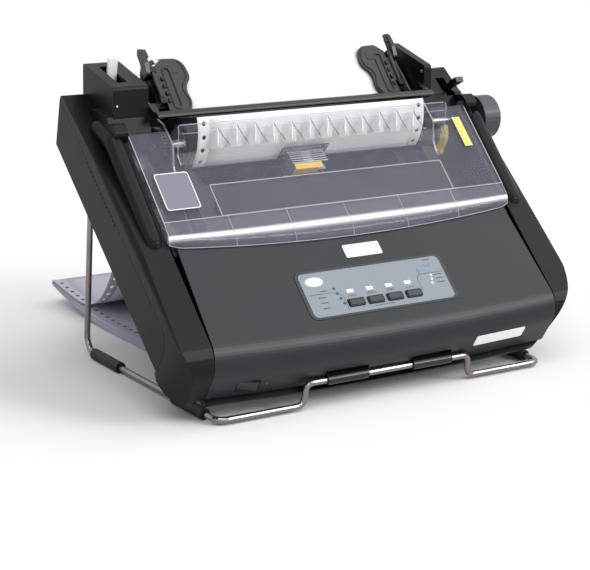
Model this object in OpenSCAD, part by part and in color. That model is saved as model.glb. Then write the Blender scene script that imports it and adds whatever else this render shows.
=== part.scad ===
// Desktop dot matrix printer on a wire stand, loaded with fanfold paper.
// Units are millimetres. +Z is up, +Y is to the rear, +X is to the right seen from the front.
// The printer body leans back on its stand. It is drawn in its own body coordinates
// (x across, v rearwards along its base, w square to its base) and tilted onto the stand.

/* [Stand] */
// Angle between the base of the printer and the desk
tilt = 41.5; // [38:0.5:44]
// Width between the centres of the two side rails
stand_w = 360; // [350:1:366]
// Depth from the front bar to the rear legs
stand_l = 254; // [252:1:256]
// Diameter of the steel wire
wire_d = 6; // [5:0.1:6.2]
// Half width of the raised part of the front bar
raise_half = 91; // [88:1:96]
// Height of the raised part of the front bar above the rails
raise_h = 20.5; // [19.5:0.5:21.5]
// Outer diameter of the rubber sleeves
sleeve_d = 11; // [10:0.5:12]
// Length of each rubber sleeve
sleeve_l = 54; // [40:1:60]

/* [Case] */
// Width of the case over both sides
case_w = 438; // [434:1:440]
// Wall of the moulded covers
wall = 2.5; // [2:0.1:3]
// Height of the seam between the lower and the upper case
seam_w = 45; // [44:0.5:46]
// Open line between the two halves of the case
seam_gap = 0.4; // [0.3:0.1:0.8]
// Width of each cheek beside the front panel
cheek_w = 30.5; // [30:0.5:32]
// How far the front bows forward at its middle
bow = 5; // [4:0.5:6]
// Radius of the nose of the front panel
nose_r = 26; // [22:1:28]
// Number of vent holes in each side
vent_count = 15; // [8:1:16]
// Diameter of a vent hole
vent_d = 1.8; // [1.5:0.1:2.4]

/* [Access cover] */
// Thickness of the clear cover
cover_t = 2.4; // [2:0.1:2.6]
// Half width of the raised hood in front of the paper
hood_half = 148; // [144:1:150]
// Radius of the hood about the hinge axis
hood_r = 23; // [22.9:0.1:23.4]
// Radius of the hinge pins
hinge_pin_r = 2; // [1.6:0.1:2.2]
// Radial clearance of the hinge pins
hinge_clear = 0.06; // [0.03:0.01:0.1]

/* [Paper feed] */
// Radius of the platen's rubber
platen_r = 26.7; // [26:0.1:26.7]
// Half length of the platen's rubber
platen_half = 132; // [129:1:134]
// Radius of the platen's shaft
platen_shaft_r = 4; // [3:0.5:5]
// Radius of the platen knob
knob_r = 22.6; // [20:0.1:23]
// How far the knob stands out beyond the case
knob_out = 15; // [12:1:18]
// Radial clearance of shafts in their bushes
shaft_clear = 0.05; // [0.02:0.01:0.1]
// Half distance between the two sprocket hole lines of the paper
hole_half = 120.65; // [120:0.05:121]
// Pins on each pin wheel
pin_count = 6; // [6:1:6]
// Pitch of the paper's sprocket holes
hole_pitch = 12.7; // [12.5:0.1:12.8]
// Gear module
gear_m = 1; // [1:0.1:1]
// Teeth of the platen gear
platen_teeth = 36; // [36:1:36]
// Teeth of each idler gear and of the motor pinion
idler_teeth = 15; // [15:1:15]
// Teeth of the tractor gear
tractor_teeth = 16; // [16:1:16]
// Width of the gears
gear_w = 6; // [4:0.5:7]

/* [Paper] */
// Width of the fanfold paper
paper_w = 254; // [253:0.5:254]
// Thickness of the paper web as modelled
paper_t = 0.4; // [0.3:0.05:0.4]
// Length of one fanfold sheet
sheet_l = 304.8; // [300:0.1:305]
// Height of the stack of folded sheets
stack_h = 12; // [8:1:14]

/* [Print head] */
// Radius of the carriage's guide shaft
guide_r = 6; // [5:0.5:6]
// Width of the carriage
carriage_w = 46; // [40:1:50]
// Place of the carriage across the printer, as photographed
head_x = -11; // [-40:1:40]
// Number of cooling fins on the print head
fin_count = 6; // [4:1:7]

/* [Controls] */
// Width of a key
key_w = 17; // [14:0.5:18]
// Depth of a key
key_d = 7.4; // [6:0.2:8]
// Distance between neighbouring keys
key_pitch = 21.3; // [20:0.1:22]
// Gap round each key and lever
key_gap = 0.4; // [0.3:0.05:0.6]

/* [Hidden] */
$fn = 48;

// ---- derived sizes ----
sleeve_flat = 0.5;                       // depth of the flat that the sleeves rest on
rail_z = sleeve_d / 2 - sleeve_flat;     // height of the wire's centreline above the desk
wire_r = wire_d / 2;
lift = rail_z - 3;                       // height of the body's own origin above the desk
case_half = case_w / 2;
panel_w = case_w - 2 * cheek_w;          // front panel between the cheeks
cover_w = panel_w + 2;                   // clear cover between the shoulders
panel_half = panel_w / 2;
cover_half = cover_w / 2;
knob_x = case_half + knob_out;           // outer face of the knob
knob_gap = 1.2;                          // open ring between the knob and the case
paper_half = paper_w / 2;

// Body outline, (v, w)
floor_w = 6;                             // underside of the base
floor_t = 2.5;
floor_top = floor_w + floor_t;
base_front_v = 59;                       // front of the lower case at the sides
base_rear_v = 315;                       // rear lower corner
rear_top_v = 336.5;                      // rear top corner of the lower case
panel_rear = [146, 62.5];                // rear edge of the front panel's top
panel_slope = 2.84;                      // slope of the front panel's top
nose_tip = [26.9, 56.6];                 // corner that the nose arc rounds off
panel_low = [20.5, 12];                  // lower end of the front face
panel_rim_w = 8.8;                       // underside of the front panel
hinge = [265.5, 77.5];                   // hinge axis of the access cover
cover_crease = [167.5, 70.5];
cover_front = [144.5, 64.5];             // front lower edge of the cover
platen = [263, 55];                      // platen axis
paper_r = platen_r + 0.3 + paper_t / 2;  // centre of the paper as it wraps the platen
tract_tilt = 8.2;                        // slope of the tractors in the body
tract_ref = [297, 67.2];                 // point of the paper's plane under the tractors
crest = [347.2, 66.9];                   // centre of the bend where the paper drops behind
crest_r = 7.7;
pin_wheel_r = pin_count * hole_pitch / (2 * PI);
frame_x = 146;                           // inner face of each side frame
frame_t = 2;
gear_x = -(frame_x + frame_t + 1);       // right face of the gear train
tower_in = case_half - 59.5;             // inner faces of the towers
tower_out = case_half - 23.5;
plate_in = case_half - 68;               // inner face of the right hand tower plate
guide = [214, 38];                       // carriage guide shaft
rail_v = 168;                            // carriage front rail
belt_v = 186;                            // middle of the carriage belt
belt_w = 28;                             // underside of the carriage belt
belt_h = 5;
pulley_r = 6;
pulley_x = 128;
play = 0.3;                              // gap kept round parts that move
front_bend = 50;                         // radius of the paper's rise in front of the platen

// Where the axis claim puts the origin: the middle of the box, on the desk
function to_desk(p) = [p[0] * cos(tilt) - p[1] * sin(tilt), p[0] * sin(tilt) + p[1] * cos(tilt) + lift];
stack_rear = 447;                        // rear edge of the stack of sheets
origin_x = (knob_x - case_half) / 2;
panel_front = min([for (p = panel_outer()) to_desk([p[0] - bow, p[1]])[0]]);
origin_y = (stack_rear + panel_front) / 2;

// ---- helpers ----
function unit(a) = a / norm(a);
// Rounds one corner of an outline: an arc of radius r tangent to both of its sides
function corner(a, p, b, r, n) =
    let (
        u = unit(a - p),
        v = unit(b - p),
        half = acos(u * v) / 2,
        c = p + unit(u + v) * r / sin(half),
        s = p + u * r / tan(half) - c,
        e = p + v * r / tan(half) - c,
        phi = 180 - 2 * half
    )
    [for (i = [0 : n]) c + s * sin((1 - i / n) * phi) / sin(phi) + e * sin(i / n * phi) / sin(phi)];
// Closed outline from [point, radius] pairs; a radius of 0 keeps the corner
function outline(list, n = 6) =
    let (m = len(list))
    [for (i = [0 : m - 1]) each list[i][1] == 0 ? [list[i][0]]
        : corner(list[(i + m - 1) % m][0], list[i][0], list[(i + 1) % m][0], list[i][1], n)];
// Open path of the same kind
function path(list, n = 6) =
    let (m = len(list))
    [for (i = [0 : m - 1]) each (i == 0 || i == m - 1 || list[i][1] == 0) ? [list[i][0]]
        : corner(list[i - 1][0], list[i][0], list[i + 1][0], list[i][1], n)];
function arc(c, r, a0, a1, n = 12) =
    [for (i = [0 : n]) let (a = a0 + (a1 - a0) * i / n) c + r * [cos(a), sin(a)]];
// Points of an open path moved sideways to its left by d
function beside(pts, d) =
    let (m = len(pts))
    [for (i = [0 : m - 1])
        let (
            before = i == 0 ? pts[1] - pts[0] : pts[i] - pts[i - 1],
            after = i == m - 1 ? pts[m - 1] - pts[m - 2] : pts[i + 1] - pts[i],
            t = unit(unit(before) + unit(after)),
            stretch = 1 / max(0.5, t * unit(after))
        )
        pts[i] + d * stretch * [-t[1], t[0]]];
function reversed(pts) = [for (i = [len(pts) - 1 : -1 : 0]) pts[i]];
// A path without points that repeat the one before
function clean(pts) = [for (i = [0 : len(pts) - 1]) if (i == 0 || norm(pts[i] - pts[max(i - 1,
        0)]) > 0.01) pts[i]];
// Band along a path, between two offsets to its left
function strip(pts, d0, d1) = let (q = clean(pts)) concat(beside(q, d0), reversed(beside(q, d1)));
function bezier(a, b, c, d, n) =
    [for (i = [0 : n]) let (t = i / n, s = 1 - t)
        s * s * s * a + 3 * s * s * t * b + 3 * s * t * t * c + t * t * t * d];
function turned(p, c, a) = c + [(p[0] - c[0]) * cos(a) - (p[1] - c[1]) * sin(a),
                                (p[0] - c[0]) * sin(a) + (p[1] - c[1]) * cos(a)];

module on_desk() translate([-origin_x, -origin_y, 0]) children();
module on_stand() translate([-origin_x, -origin_y, lift]) rotate([tilt, 0, 0]) children();
// A (v, w) outline drawn across the printer from x0 to x1
module across(x0, x1) translate([x0, 0, 0]) rotate([90, 0, 90]) linear_extrude(x1 - x0) children();
module both_sides() {
    children();
    mirror([1, 0, 0]) children();
}
// Round bar along x about the point p of a side view
module bar(p, r, x0, x1) translate([x0, p[0], p[1]]) rotate([0, 90, 0]) cylinder(r = r, h = x1 - x0);
module block(x, v, w) translate([x[0], v[0], w[0]]) cube([x[1] - x[0], v[1] - v[0], w[1] - w[0]]);
// A (v, w) outline carried round the wide arc that bows the front
bow_r = (pow(panel_half, 2) + bow * bow) / (2 * bow);
module bowed(half) {
    span = asin(half / (bow_r - 10));
    centre_v = bow_r + panel_low[0] - bow;
    intersection() {
        translate([0, centre_v, 0]) rotate([0, 0, -90 - span])
            rotate_extrude(angle = 2 * span, $fn = 720) mirror([1, 0]) translate([-centre_v, 0])
                translate([-bow, 0]) children();
        block([-half, half], [-20, 200], [-20, 100]);
    }
}
// Stand on the sloping top of the front panel: x across, y up the slope, z out of it
module on_panel() translate([0, nose_tip[0], nose_tip[1]]) rotate([panel_slope, 0, 0]) children();
module rounded_plate(w, d, h, r) linear_extrude(h) polygon(outline([
    [[-w / 2, -d / 2], r], [[w / 2, -d / 2], r], [[w / 2, d / 2], r], [[-w / 2, d / 2], r]]));

// Involute gear outline with one tooth centred on +x
function inv_deg(a) = tan(a) * 180 / PI - a;
function tooth_half(n, m, rho) =
    let (r = n * m / 2, rb = r * cos(20), a = rho <= rb ? 0 : acos(rb / rho))
    90 / n - 0.06 * 180 / PI / r + inv_deg(20) - inv_deg(a);
function gear_outline(n, m) =
    let (r = n * m / 2, root = r - 1.25 * m, tip = r + 0.95 * m, rb = r * cos(20), low = max(root, rb))
    [for (i = [0 : n - 1]) let (c = i * 360 / n, rim = [for (j = [0 : 4]) low + (tip - low) * j / 4])
        each concat(
            [let (h = tooth_half(n, m, low)) root * [cos(c - h), sin(c - h)]],
            [for (q = rim) let (h = tooth_half(n, m, q)) q * [cos(c - h), sin(c - h)]],
            [for (q = reversed(rim)) let (h = tooth_half(n, m, q)) q * [cos(c + h), sin(c + h)]],
            [let (h = tooth_half(n, m, low)) root * [cos(c + h), sin(c + h)]])];
module gear(p, n, phase, bore) {
    difference() {
        translate([gear_x - gear_w, p[0], p[1]]) rotate([90, 0, 90]) rotate([0, 0, phase])
            linear_extrude(gear_w) polygon(gear_outline(n, gear_m));
        bar(p, bore, gear_x - gear_w - 1, gear_x + 1);
    }
}
// Phase of a gear of nb teeth that meshes in direction a with one of na teeth at phase pa
function mesh_phase(na, pa, nb, a) = a + 180 + ((a - pa) * na / 360 + 0.5) * 360 / nb;
function pitch(n) = n * gear_m / 2;
function angle_of(a, b) = atan2(b[1] - a[1], b[0] - a[0]);

// Gear train from the platen to the tractors
tract_dir = [cos(tract_tilt), sin(tract_tilt)];
tract_up = [-sin(tract_tilt), cos(tract_tilt)];
drive = tract_ref + 9 * tract_dir - (pin_wheel_r + 0.4) * tract_up;   // square shaft
support = tract_ref + 34 * tract_dir - 11 * tract_up;                 // round shaft
idler_1_dir = -38;
idler_1 = platen + (pitch(platen_teeth) + pitch(idler_teeth)) * [cos(idler_1_dir), sin(idler_1_dir)];
idler_2 = let (
        ra = 2 * pitch(idler_teeth),
        rb = pitch(idler_teeth) + pitch(tractor_teeth),
        d = norm(drive - idler_1),
        a = (ra * ra - rb * rb + d * d) / (2 * d),
        h = sqrt(ra * ra - a * a),
        u = unit(drive - idler_1)
    ) idler_1 + a * u + h * [u[1], -u[0]];
pinion_dir = -95;
pinion = platen + (pitch(platen_teeth) + pitch(idler_teeth)) * [cos(pinion_dir), sin(pinion_dir)];
platen_phase = 0;
idler_1_phase = mesh_phase(platen_teeth, platen_phase, idler_teeth, idler_1_dir);
idler_2_phase = mesh_phase(idler_teeth, idler_1_phase, idler_teeth, angle_of(idler_1, idler_2));
tractor_phase = mesh_phase(idler_teeth, idler_2_phase, tractor_teeth, angle_of(idler_2, drive));
pinion_phase = mesh_phase(platen_teeth, platen_phase, idler_teeth, pinion_dir);

// ---- outlines that several parts share ----
// Front panel, from the rear of its top round the nose to its lower rim
function panel_outer() = path([[panel_rear, 0], [nose_tip, nose_r], [panel_low, 3.5], [[panel_low[0] + 1,
        panel_rim_w], 0]], 14);
// Seam between the case halves, from the rear to the front foot
function seam(gap, low) = path([[[rear_top_v, seam_w - gap], 0], [[66 + gap, seam_w - gap], 16],
    [[base_front_v + gap, 22], 12], [[base_front_v + gap, low], 0]], 8);
tower = outline([[[277, 48], 0], [[282.8, 77.5], 3], [[301.2, 97.3], 4], [[356.9, 69.7], 2.5],
    [[rear_top_v + 2, seam_w + 3], 0]], 5);
// The box beside the right hand plate is low, with the release lever in its top
low_top = 68.3;
low_tower = outline([[[277, 48], 0], [[282.8, 65.5], 3], [[286, low_top], 3], [[320, low_top], 3],
    [[rear_top_v + 2, seam_w + 3], 0]], 5);
function tract_point(s, h) = tract_ref + s * tract_dir + h * tract_up;
// Centre line of the paper from its leading edge to the rear bend, in body coordinates
function paper_front() = arc([platen[0] - paper_r + front_bend, platen[1]], front_bend, 180 - 59, 180, 12);
rear_turn_r = 6;
rear_turn = let (
        // lies rear_turn_r under the tractor plane and rear_turn_r + paper_r from the platen
        s = [for (i = [-200 : 200]) let (q = tract_point(i / 10, -rear_turn_r))
            if (norm(q - platen) >= rear_turn_r + paper_r + 0.2 && q[0] > platen[0]) i / 10][0]
    ) tract_point(s, -rear_turn_r);
touch_angle = angle_of(platen, rear_turn);
function paper_body() = concat(
    paper_front(),
    arc(platen, paper_r, 180, 360 + touch_angle, 30),
    arc(rear_turn, rear_turn_r, 180 + touch_angle, 90 + tract_tilt, 8),
    arc(crest, crest_r, 90 + tract_tilt, -18, 12));
// The rear half of the stack curls up
curl_y = 290;
curl_r = 926;
under_y = 285;
under_r = 640;
function lift_off(y, start, r) = y < start ? 0 : r - sqrt(r * r - pow(y - start, 2));
function stack_top(y) = stack_h + lift_off(y, curl_y, curl_r);
lay_y = 385;                             // where the hanging sheet comes to lie on the stack
// The sheet that hangs from the rear bend to the stack, in desk coordinates
function paper_hang() =
    let (
        a = to_desk(crest + crest_r * [cos(-18), sin(-18)]),
        d = [-cos(-18 + tilt + 90), -sin(-18 + tilt + 90)],
        e = [lay_y, stack_top(lay_y) + 1],
        slope = asin((lay_y - curl_y) / curl_r)
    )
    bezier(a, a + 150 * d, e - 100 * [cos(slope), sin(slope)], e, 26);
function paper_path() = concat([for (p = paper_body()) to_desk(p)],
    [for (i = [1 : 26]) paper_hang()[i]],
    [for (i = [1 : 6]) let (y = lay_y + i * (stack_rear - 3 - lay_y) / 6) [y, stack_top(y) + 1]]);

// ---- stand ----
function tube_points(pts, r, sides) =
    let (m = len(pts))
    [for (i = [0 : m - 1])
        let (
            t = unit(pts[min(i + 1, m - 1)] - pts[max(i - 1, 0)]),
            u = unit(cross(t, [1, 1, 1])),
            v = cross(t, u)
        )
        each [for (j = [0 : sides - 1]) let (a = 360 * j / sides) pts[i] + r * (u * cos(a) + v * sin(a))]];
module tube(pts, r, sides) {
    m = len(pts);
    ring = [for (i = [0 : m - 2]) for (j = [0 : sides - 1]) let (k = (j + 1) % sides)
        each [[i * sides + k, i * sides + j, (i + 1) * sides + j],
              [(i + 1) * sides + k, i * sides + k, (i + 1) * sides + j]]];
    first = [for (j = [1 : sides - 2]) [0, j, j + 1]];
    last = [for (j = [1 : sides - 2]) [(m - 1) * sides, (m - 1) * sides + j + 1, (m - 1) * sides + j]];
    polyhedron(tube_points(pts, r, sides), concat(ring, first, last));
}
wire_front = [-2, rail_z + raise_h];     // the raised bar, (y, z) on the desk
socket_v = 300;                          // where the legs enter the base
socket_depth = 14;
bend_r = 10;
leg_bend_r = 15;                         // bend at the foot of each leg
function wire_side(s) =
    let (
        top = to_desk([socket_v, floor_w - 0.3]),
        below = to_desk([socket_v, floor_w - socket_depth - 12])
    )
    [[[s * stand_w / 2, top[0], top[1]], 0],
     [[s * stand_w / 2, below[0], below[1]], bend_r],
     [[s * stand_w / 2, stand_l, rail_z], leg_bend_r],
     [[s * stand_w / 2, 0, rail_z], bend_r],
     [[s * (raise_half + 1), 0, rail_z], bend_r - 3],
     [[s * (raise_half - 1), wire_front[0], wire_front[1]], bend_r - 3]];
module wire_stand() {
    color([0.75, 0.72, 0.7]) on_desk()
        tube(path(concat(wire_side(-1), reversed(wire_side(1))), 6), wire_r, 12);
}
module stand_sleeves() {
    color([0.09, 0.09, 0.1]) on_desk() both_sides()
        for (y = [22, 182]) difference() {
            translate([stand_w / 2, y, rail_z]) rotate([-90, 0, 0]) cylinder(d = sleeve_d, h = sleeve_l);
            translate([stand_w / 2, y - 1, rail_z]) rotate([-90, 0, 0])
                cylinder(r = wire_r + 0.05, h = sleeve_l + 2);
            translate([stand_w / 2 - sleeve_d, y - 1, -5]) cube([2 * sleeve_d, sleeve_l + 2, 5]);
        }
}
// Two rolled loops on the front edge that hold the raised bar
clip_w = 43;
clip_x = 47;
loop_c = let (y = wire_front[0], z = wire_front[1] - lift)
    [y * cos(tilt) + z * sin(tilt), z * cos(tilt) - y * sin(tilt)];
loop_r = wire_r + 1.6;
module wire_clips() {
    color([0.1, 0.1, 0.11]) on_stand() both_sides() difference() {
        union() {
            bar(loop_c, loop_r, clip_x - clip_w / 2, clip_x + clip_w / 2);
            across(clip_x - clip_w / 2, clip_x + clip_w / 2) polygon([
                [loop_c[0] - 2, loop_c[1] - loop_r + 0.4], [loop_c[0] + 3, loop_c[1] - loop_r - 2.5],
                [lip_inner - 0.1, lip_top], [lip_inner - 0.1, loop_c[1] + 2], [loop_c[0],
                    loop_c[1] + loop_r - 0.3]]);
        }
        bar(loop_c, wire_r + 0.05, 0, 2 * clip_x);
    }
}

// ---- case ----
lip_top = 8.4;                           // top of the base's front lip
lip_inner = 24;                          // rear face of the front lip
module vents(s) for (i = [0 : vent_count - 1])
    bar([191 + i * 71 / (vent_count - 1), seam_w - 2.6], vent_d / 2,
        s > 0 ? case_half - 5 : -case_half - 1, s > 0 ? case_half + 1 : -case_half + 5);
module side_wall(c) intersection() {
    across(case_half - 12, case_half) polygon(concat(seam(seam_gap, floor_w), [[base_rear_v, floor_w]]));
    difference() {
        plan_outline(c, 0);
        plan_outline(c, wall + 0.5);
    }
}
module lower_case() {
    color([0.16, 0.16, 0.17]) on_stand() difference() {
        union() {
            // side walls
            mirror([1, 0, 0]) side_wall(left_corner);
            side_wall(right_corner);
            // floor
            block([-case_half + 1, case_half - 1], [base_front_v + seam_gap, base_rear_v - 1], [floor_w,
                    floor_top]);
            block([-panel_half + 1, panel_half - 1], [34, 70], [floor_w, floor_top]);
            // bowed front lip under the panel
            bowed(panel_half - 0.5) polygon(outline([[[16.5, 7], 0], [[18, 1.5], 3], [[34, 0.8], 3],
                [[52, floor_w + 0.5], 0], [[52, floor_top], 0], [[lip_inner + bow, floor_top], 0],
                [[lip_inner + bow, lip_top], 0], [[16.5, lip_top], 0]]));
            // rear wall
            across(-case_half + 1, case_half - 1) polygon([[base_rear_v, floor_w],
                [rear_top_v, seam_w], [rear_top_v - wall - 0.3, seam_w], [base_rear_v - wall - 0.3,
                    floor_w]]);
            // bosses that the stand's legs enter
            both_sides() translate([stand_w / 2, socket_v, floor_w - socket_depth])
                cylinder(r = wire_r + 4, h = socket_depth + 1);
        }
        both_sides() translate([stand_w / 2, socket_v, floor_w - socket_depth - 1])
            cylinder(r = wire_r + 0.05, h = socket_depth + 1);
        difference() {
            block([case_half - right_corner[0], case_half + 1], [0, corner_front + right_corner[1]], [0,
                    seam_w + 1]);
            plan_outline(right_corner, 0);
        }
        vents(1);
        vents(-1);
        bar(platen, knob_r + knob_gap, case_half - 8, case_half + 1);
        on_rear_wall() {
            translate([inlet_x, socket_h, -3]) linear_extrude(9) square([inlet_size[0] + 0.4,
                    inlet_size[1] + 0.4], center = true);
            translate([port_x, socket_h, -3]) linear_extrude(9) square([port_size[0] + 0.4,
                    port_size[1] + 0.4], center = true);
        }
        for (x = [-140 : 20 : 140]) block([x - 2, x + 2], [230, 290], [floor_w - 1, floor_top + 1]);
        for (s = screw_places()) translate([s[0], s[1], floor_w - 1]) cylinder(r = 2.1, h = floor_t + 2);
    }
}
screw_x = case_half - 19;
function screw_places() = [for (x = [-screw_x, screw_x], v = [80, 305]) [x, v]];
module case_screws() {
    color([0.6, 0.6, 0.62]) on_stand() for (s = screw_places()) {
        translate([s[0], s[1], floor_w - 2]) cylinder(r = 3.6, h = 2);
        translate([s[0], s[1], floor_w - 0.1]) cylinder(r = 2, h = 22);
    }
}
// Rear wall frame: x across, y up the wall, z into the case
rear_wall_angle = atan2(seam_w - floor_w, rear_top_v - base_rear_v);
inlet_x = -165;
inlet_size = [27.4, 20];
port_x = 40;
port_size = [74, 17];
socket_h = 22;
module on_rear_wall() translate([0, base_rear_v, floor_w]) rotate([rear_wall_angle, 0, 0]) children();
module rear_sockets() {
    color([0.12, 0.12, 0.13]) on_stand() on_rear_wall() {
        difference() {
            translate([inlet_x, socket_h, -1]) rounded_plate(inlet_size[0], inlet_size[1], 18, 2);
            translate([inlet_x, socket_h, -2]) rounded_plate(inlet_size[0] - 5, inlet_size[1] - 5, 16, 2);
        }
        for (i = [-1 : 1]) translate([inlet_x + 7 * i, socket_h + (i == 0 ? 2 : -2), 2]) rounded_plate(1,
                4, 13, 0.2);
        difference() {
            translate([port_x, socket_h, -3]) rounded_plate(port_size[0], port_size[1], 16, 2);
            translate([port_x, socket_h, -4]) rounded_plate(port_size[0] - 8, port_size[1] - 7, 10, 1.5);
        }
        translate([port_x, socket_h, -2.5]) rounded_plate(port_size[0] - 16, 4, 9, 0.6);
    }
}
// Outline of one cheek seen from the side
function cheek_outline() = concat(
    seam(0, 3),
    path([[[base_front_v, 2.9], 0], [[53, 0.6], 4], [[36, 0.4], 8], [[21, 8], 4.5],
        [panel_low, 4], [nose_tip, nose_r], [[150, 61.5], 0], [[218, 60], 0], [[rear_top_v + 0.5, 50], 2],
        [[rear_top_v, seam_w + 0.1], 0]], 8));
// How far the case's front corners round off, across and rearwards; the right one is rounder
left_corner = [31, 38];
right_corner = [56, 72];
corner_front = 15;
function corner_line(c, inset) = [for (i = [0 : 16]) let (a = i * 90 / 16)
    [case_half - inset - c[0] + c[0] * sin(a), corner_front + inset + c[1] - c[1] * cos(a)]];
module plan_outline(c, inset) translate([0, 0, -20]) linear_extrude(200)
    polygon(concat([[0, corner_front + inset]], corner_line(c, inset), [[case_half - inset, 400], [0,
            400]]));
module cheek_solid(c) intersection() {
    across(panel_half + seam_gap, case_half) polygon(cheek_outline());
    plan_outline(c, 0);
    translate([0, 420, 0]) rotate([90, 0, 0]) linear_extrude(440) polygon(outline([
        [[100, -10], 0], [[case_half, -10], 0], [[case_half, 62], 9], [[panel_half - 5, 66], 0], [[100,
            66], 0]], 8));
}
// Rounded ridge along each shoulder
ridge_r = 8.5;
ridge_x = case_half - 9.5 - ridge_r;
module ridge() tube([for (p = path([[[152, 53.5], 0], [[156, 60], 9], [[262, 69.5], 12], [[286, 58], 12],
        [[290, 54], 0]], 5))
    [ridge_x, p[0], p[1]]], ridge_r, 24);
bay_half = cover_half + 0.6;             // inner faces of the shoulders beside the cover
module shoulder() {
    // wall between the cover and the ridge, with the cover's hinge bore
    across(bay_half, ridge_x + 2) polygon(outline([[[150, 48], 0], [[152, 61], 3], [[168, 65], 4],
        [[258, 72], 2], [hinge + [-5, 6], 5], [hinge + [7, 5], 5], [[290, 62], 2], [[300, 50], 0], [[300,
            48], 0]], 6));
    across(ridge_x - 2, case_half - 4) polygon([[150, 48], [150, 58], [300, 54], [330, 50], [330, 47],
            [300, 47]]);
}
module cheek_hollow(c) intersection() {
    across(panel_half - 2, case_half - wall - 0.5) polygon(outline([[[rear_top_v - 3, seam_w - 1], 0],
            [[60, seam_w - 1], 0],
        [[54, 22], 4], [[54, 4], 2], [[38, 3.5], 4], [[27, 12], 4], [[26.5, 30], 6], [[40, 50], 12],
            [[60, 55], 0],
        [[148, 56], 0], [[166, 56], 0], [[300, 52], 0], [[rear_top_v - 3, 47.5], 0]]));
    plan_outline(c, wall + 0.5);
}
deck_v = 268.5;                          // front of the rear deck
module upper_case() {
    color([0.15, 0.15, 0.16]) on_stand() difference() {
        union() {
            cheek_solid(right_corner);
            mirror([1, 0, 0]) cheek_solid(left_corner);
            both_sides() {
                shoulder();
                ridge();
            }
            // left tower and the pieces beside the right tower
            across(-tower_out, -tower_in) polygon(tower);
            across(plate_in, tower_in) polygon(tower);
            across(tower_in - 1, tower_out) polygon(low_tower);
            // decks beside the platen bay
            across(-tower_out - 6, -tower_in) polygon(outline([[[deck_v, 47], 0], [[deck_v, 69], 3],
                    [[285, 78], 3], [[310, 60], 0], [[310, 47], 0]]));
            across(plate_in, tower_out + 6) polygon(outline([[[deck_v, 47], 0], [[deck_v, 67], 3], [[285,
                    72], 3], [[310, 60], 0], [[310, 47], 0]]));
            // rear beam that the paper passes over, below the tractors
            across(-tower_in - 1, plate_in + 1) polygon(outline([[[rear_top_v - 6, seam_w + 0.1], 0],
                    [[rear_top_v, seam_w + 0.1], 0],
                [[rear_top_v + 2, 51.5], 1.5], [[rear_top_v - 6, 51.5], 1.5]]));
            // cross rail behind the front panel, with the shelf that the panel's rear edge lies on
            block([-bay_half - 1, bay_half + 1], [150, 153], [48, 60]);
            block([-panel_half + 2, panel_half - 2], [139, 151], [56.5, 59.5]);
            block([-bay_half - 2, bay_half + 2], [147, 151], [56.5, 59.5]);
        }
        // hollow under the deck and the cheeks
        cheek_hollow(right_corner);
        mirror([1, 0, 0]) cheek_hollow(left_corner);
        // inside of the towers
        across(-tower_out + wall, -tower_in - wall) polygon(tower_cavity);
        across(tower_in + wall, tower_out - wall) polygon(low_cavity);
        across(-tower_out - 7, -tower_in - wall) polygon([[deck_v + wall, 40], [deck_v + wall, 64], [285,
                68], [300, 46], [300, 40]]);
        across(tower_in + wall, tower_out + 7) polygon([[deck_v + wall, 40], [deck_v + wall, 62], [285,
                66], [300, 46], [300, 40]]);
        // cover hinge bores
        both_sides() bar(hinge, hinge_pin_r + hinge_clear, bay_half - 1, bay_half + 6);
        // openings for the platen shaft and knob
        bar(platen, knob_r + knob_gap, ridge_x - ridge_r + 4, case_half + 1);
        bar(platen, platen_shaft_r + 0.6, plate_in - 2, case_half);
        // bores of the levers' pins
        bar(release_pivot, 2 + shaft_clear, tower_in + 0.8, tower_out - 0.8);
        bar(select_pivot, 2 + shaft_clear, -tower_out + 0.8, -tower_in - 0.8);
        // slots of the levers
        on_tower_top() translate([select_x, 31, -12]) rounded_plate(10.4, 38, 30, 1);
        across(release_x - 5.2, release_x + 5.2) polygon(release_slot());
    }
}
tower_cavity = outline([[[286, 40], 0], [[286, 74], 2], [[301.6, 93.6], 2], [[353, 68.6], 2],
    [[rear_top_v - 1.5, seam_w + 4], 0], [[rear_top_v - 4, 40], 0]], 4);
low_cavity = outline([[[285.5, 40], 0], [[285.5, 63.5], 2], [[288, low_top - wall], 2],
    [[318.5, low_top - wall], 2], [[rear_top_v - 2, seam_w + 2.5], 0], [[rear_top_v - 4, 40], 0]], 4);
module on_tower_top() translate([0, 301.2, 97.3]) rotate([-atan2(27.6, 55.7), 0, 0]) children();
select_x = -(tower_in + 20.5);
release_x = tower_out - 7.5;
release_pivot = [297, 58];
function release_slot() = [[281, 63], [283, 92], [299, 90], [309, 76], [306, 63]];
module front_panel() {
    outer = panel_outer();
    color([0.2, 0.2, 0.22]) on_stand() difference() {
        union() {
            bowed(panel_half) polygon(strip(outer, 0, wall));
            on_switch() translate([0, 0, -10]) rounded_plate(switch_w + 4, switch_d + 4, 8, 2);
        }
        on_panel() translate([0, bezel_s, -10]) rounded_plate(bezel_w + 0.3, bezel_d + 0.3, 20, 7);
        on_switch() translate([0, 0, -12]) rounded_plate(switch_w + 0.8, switch_d + 0.8, 18, 1);
        on_switch() translate([0, 0, switch_pin_z]) rotate([90, 0, 0]) translate([0, 0, -9])
            cylinder(r = switch_pin_r + shaft_clear, h = 18);
        // shallow groove behind the raised bar of the stand
        bar(loop_c, wire_r + 0.7, -raise_half - 6, raise_half + 6);
        // recesses above the loops that hold the wire
        both_sides() block([clip_x - clip_w / 2 - 1.5, clip_x + clip_w / 2 + 1.5], [0, 30], [0,
                loop_c[1] + 8]);
    }
}
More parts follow.
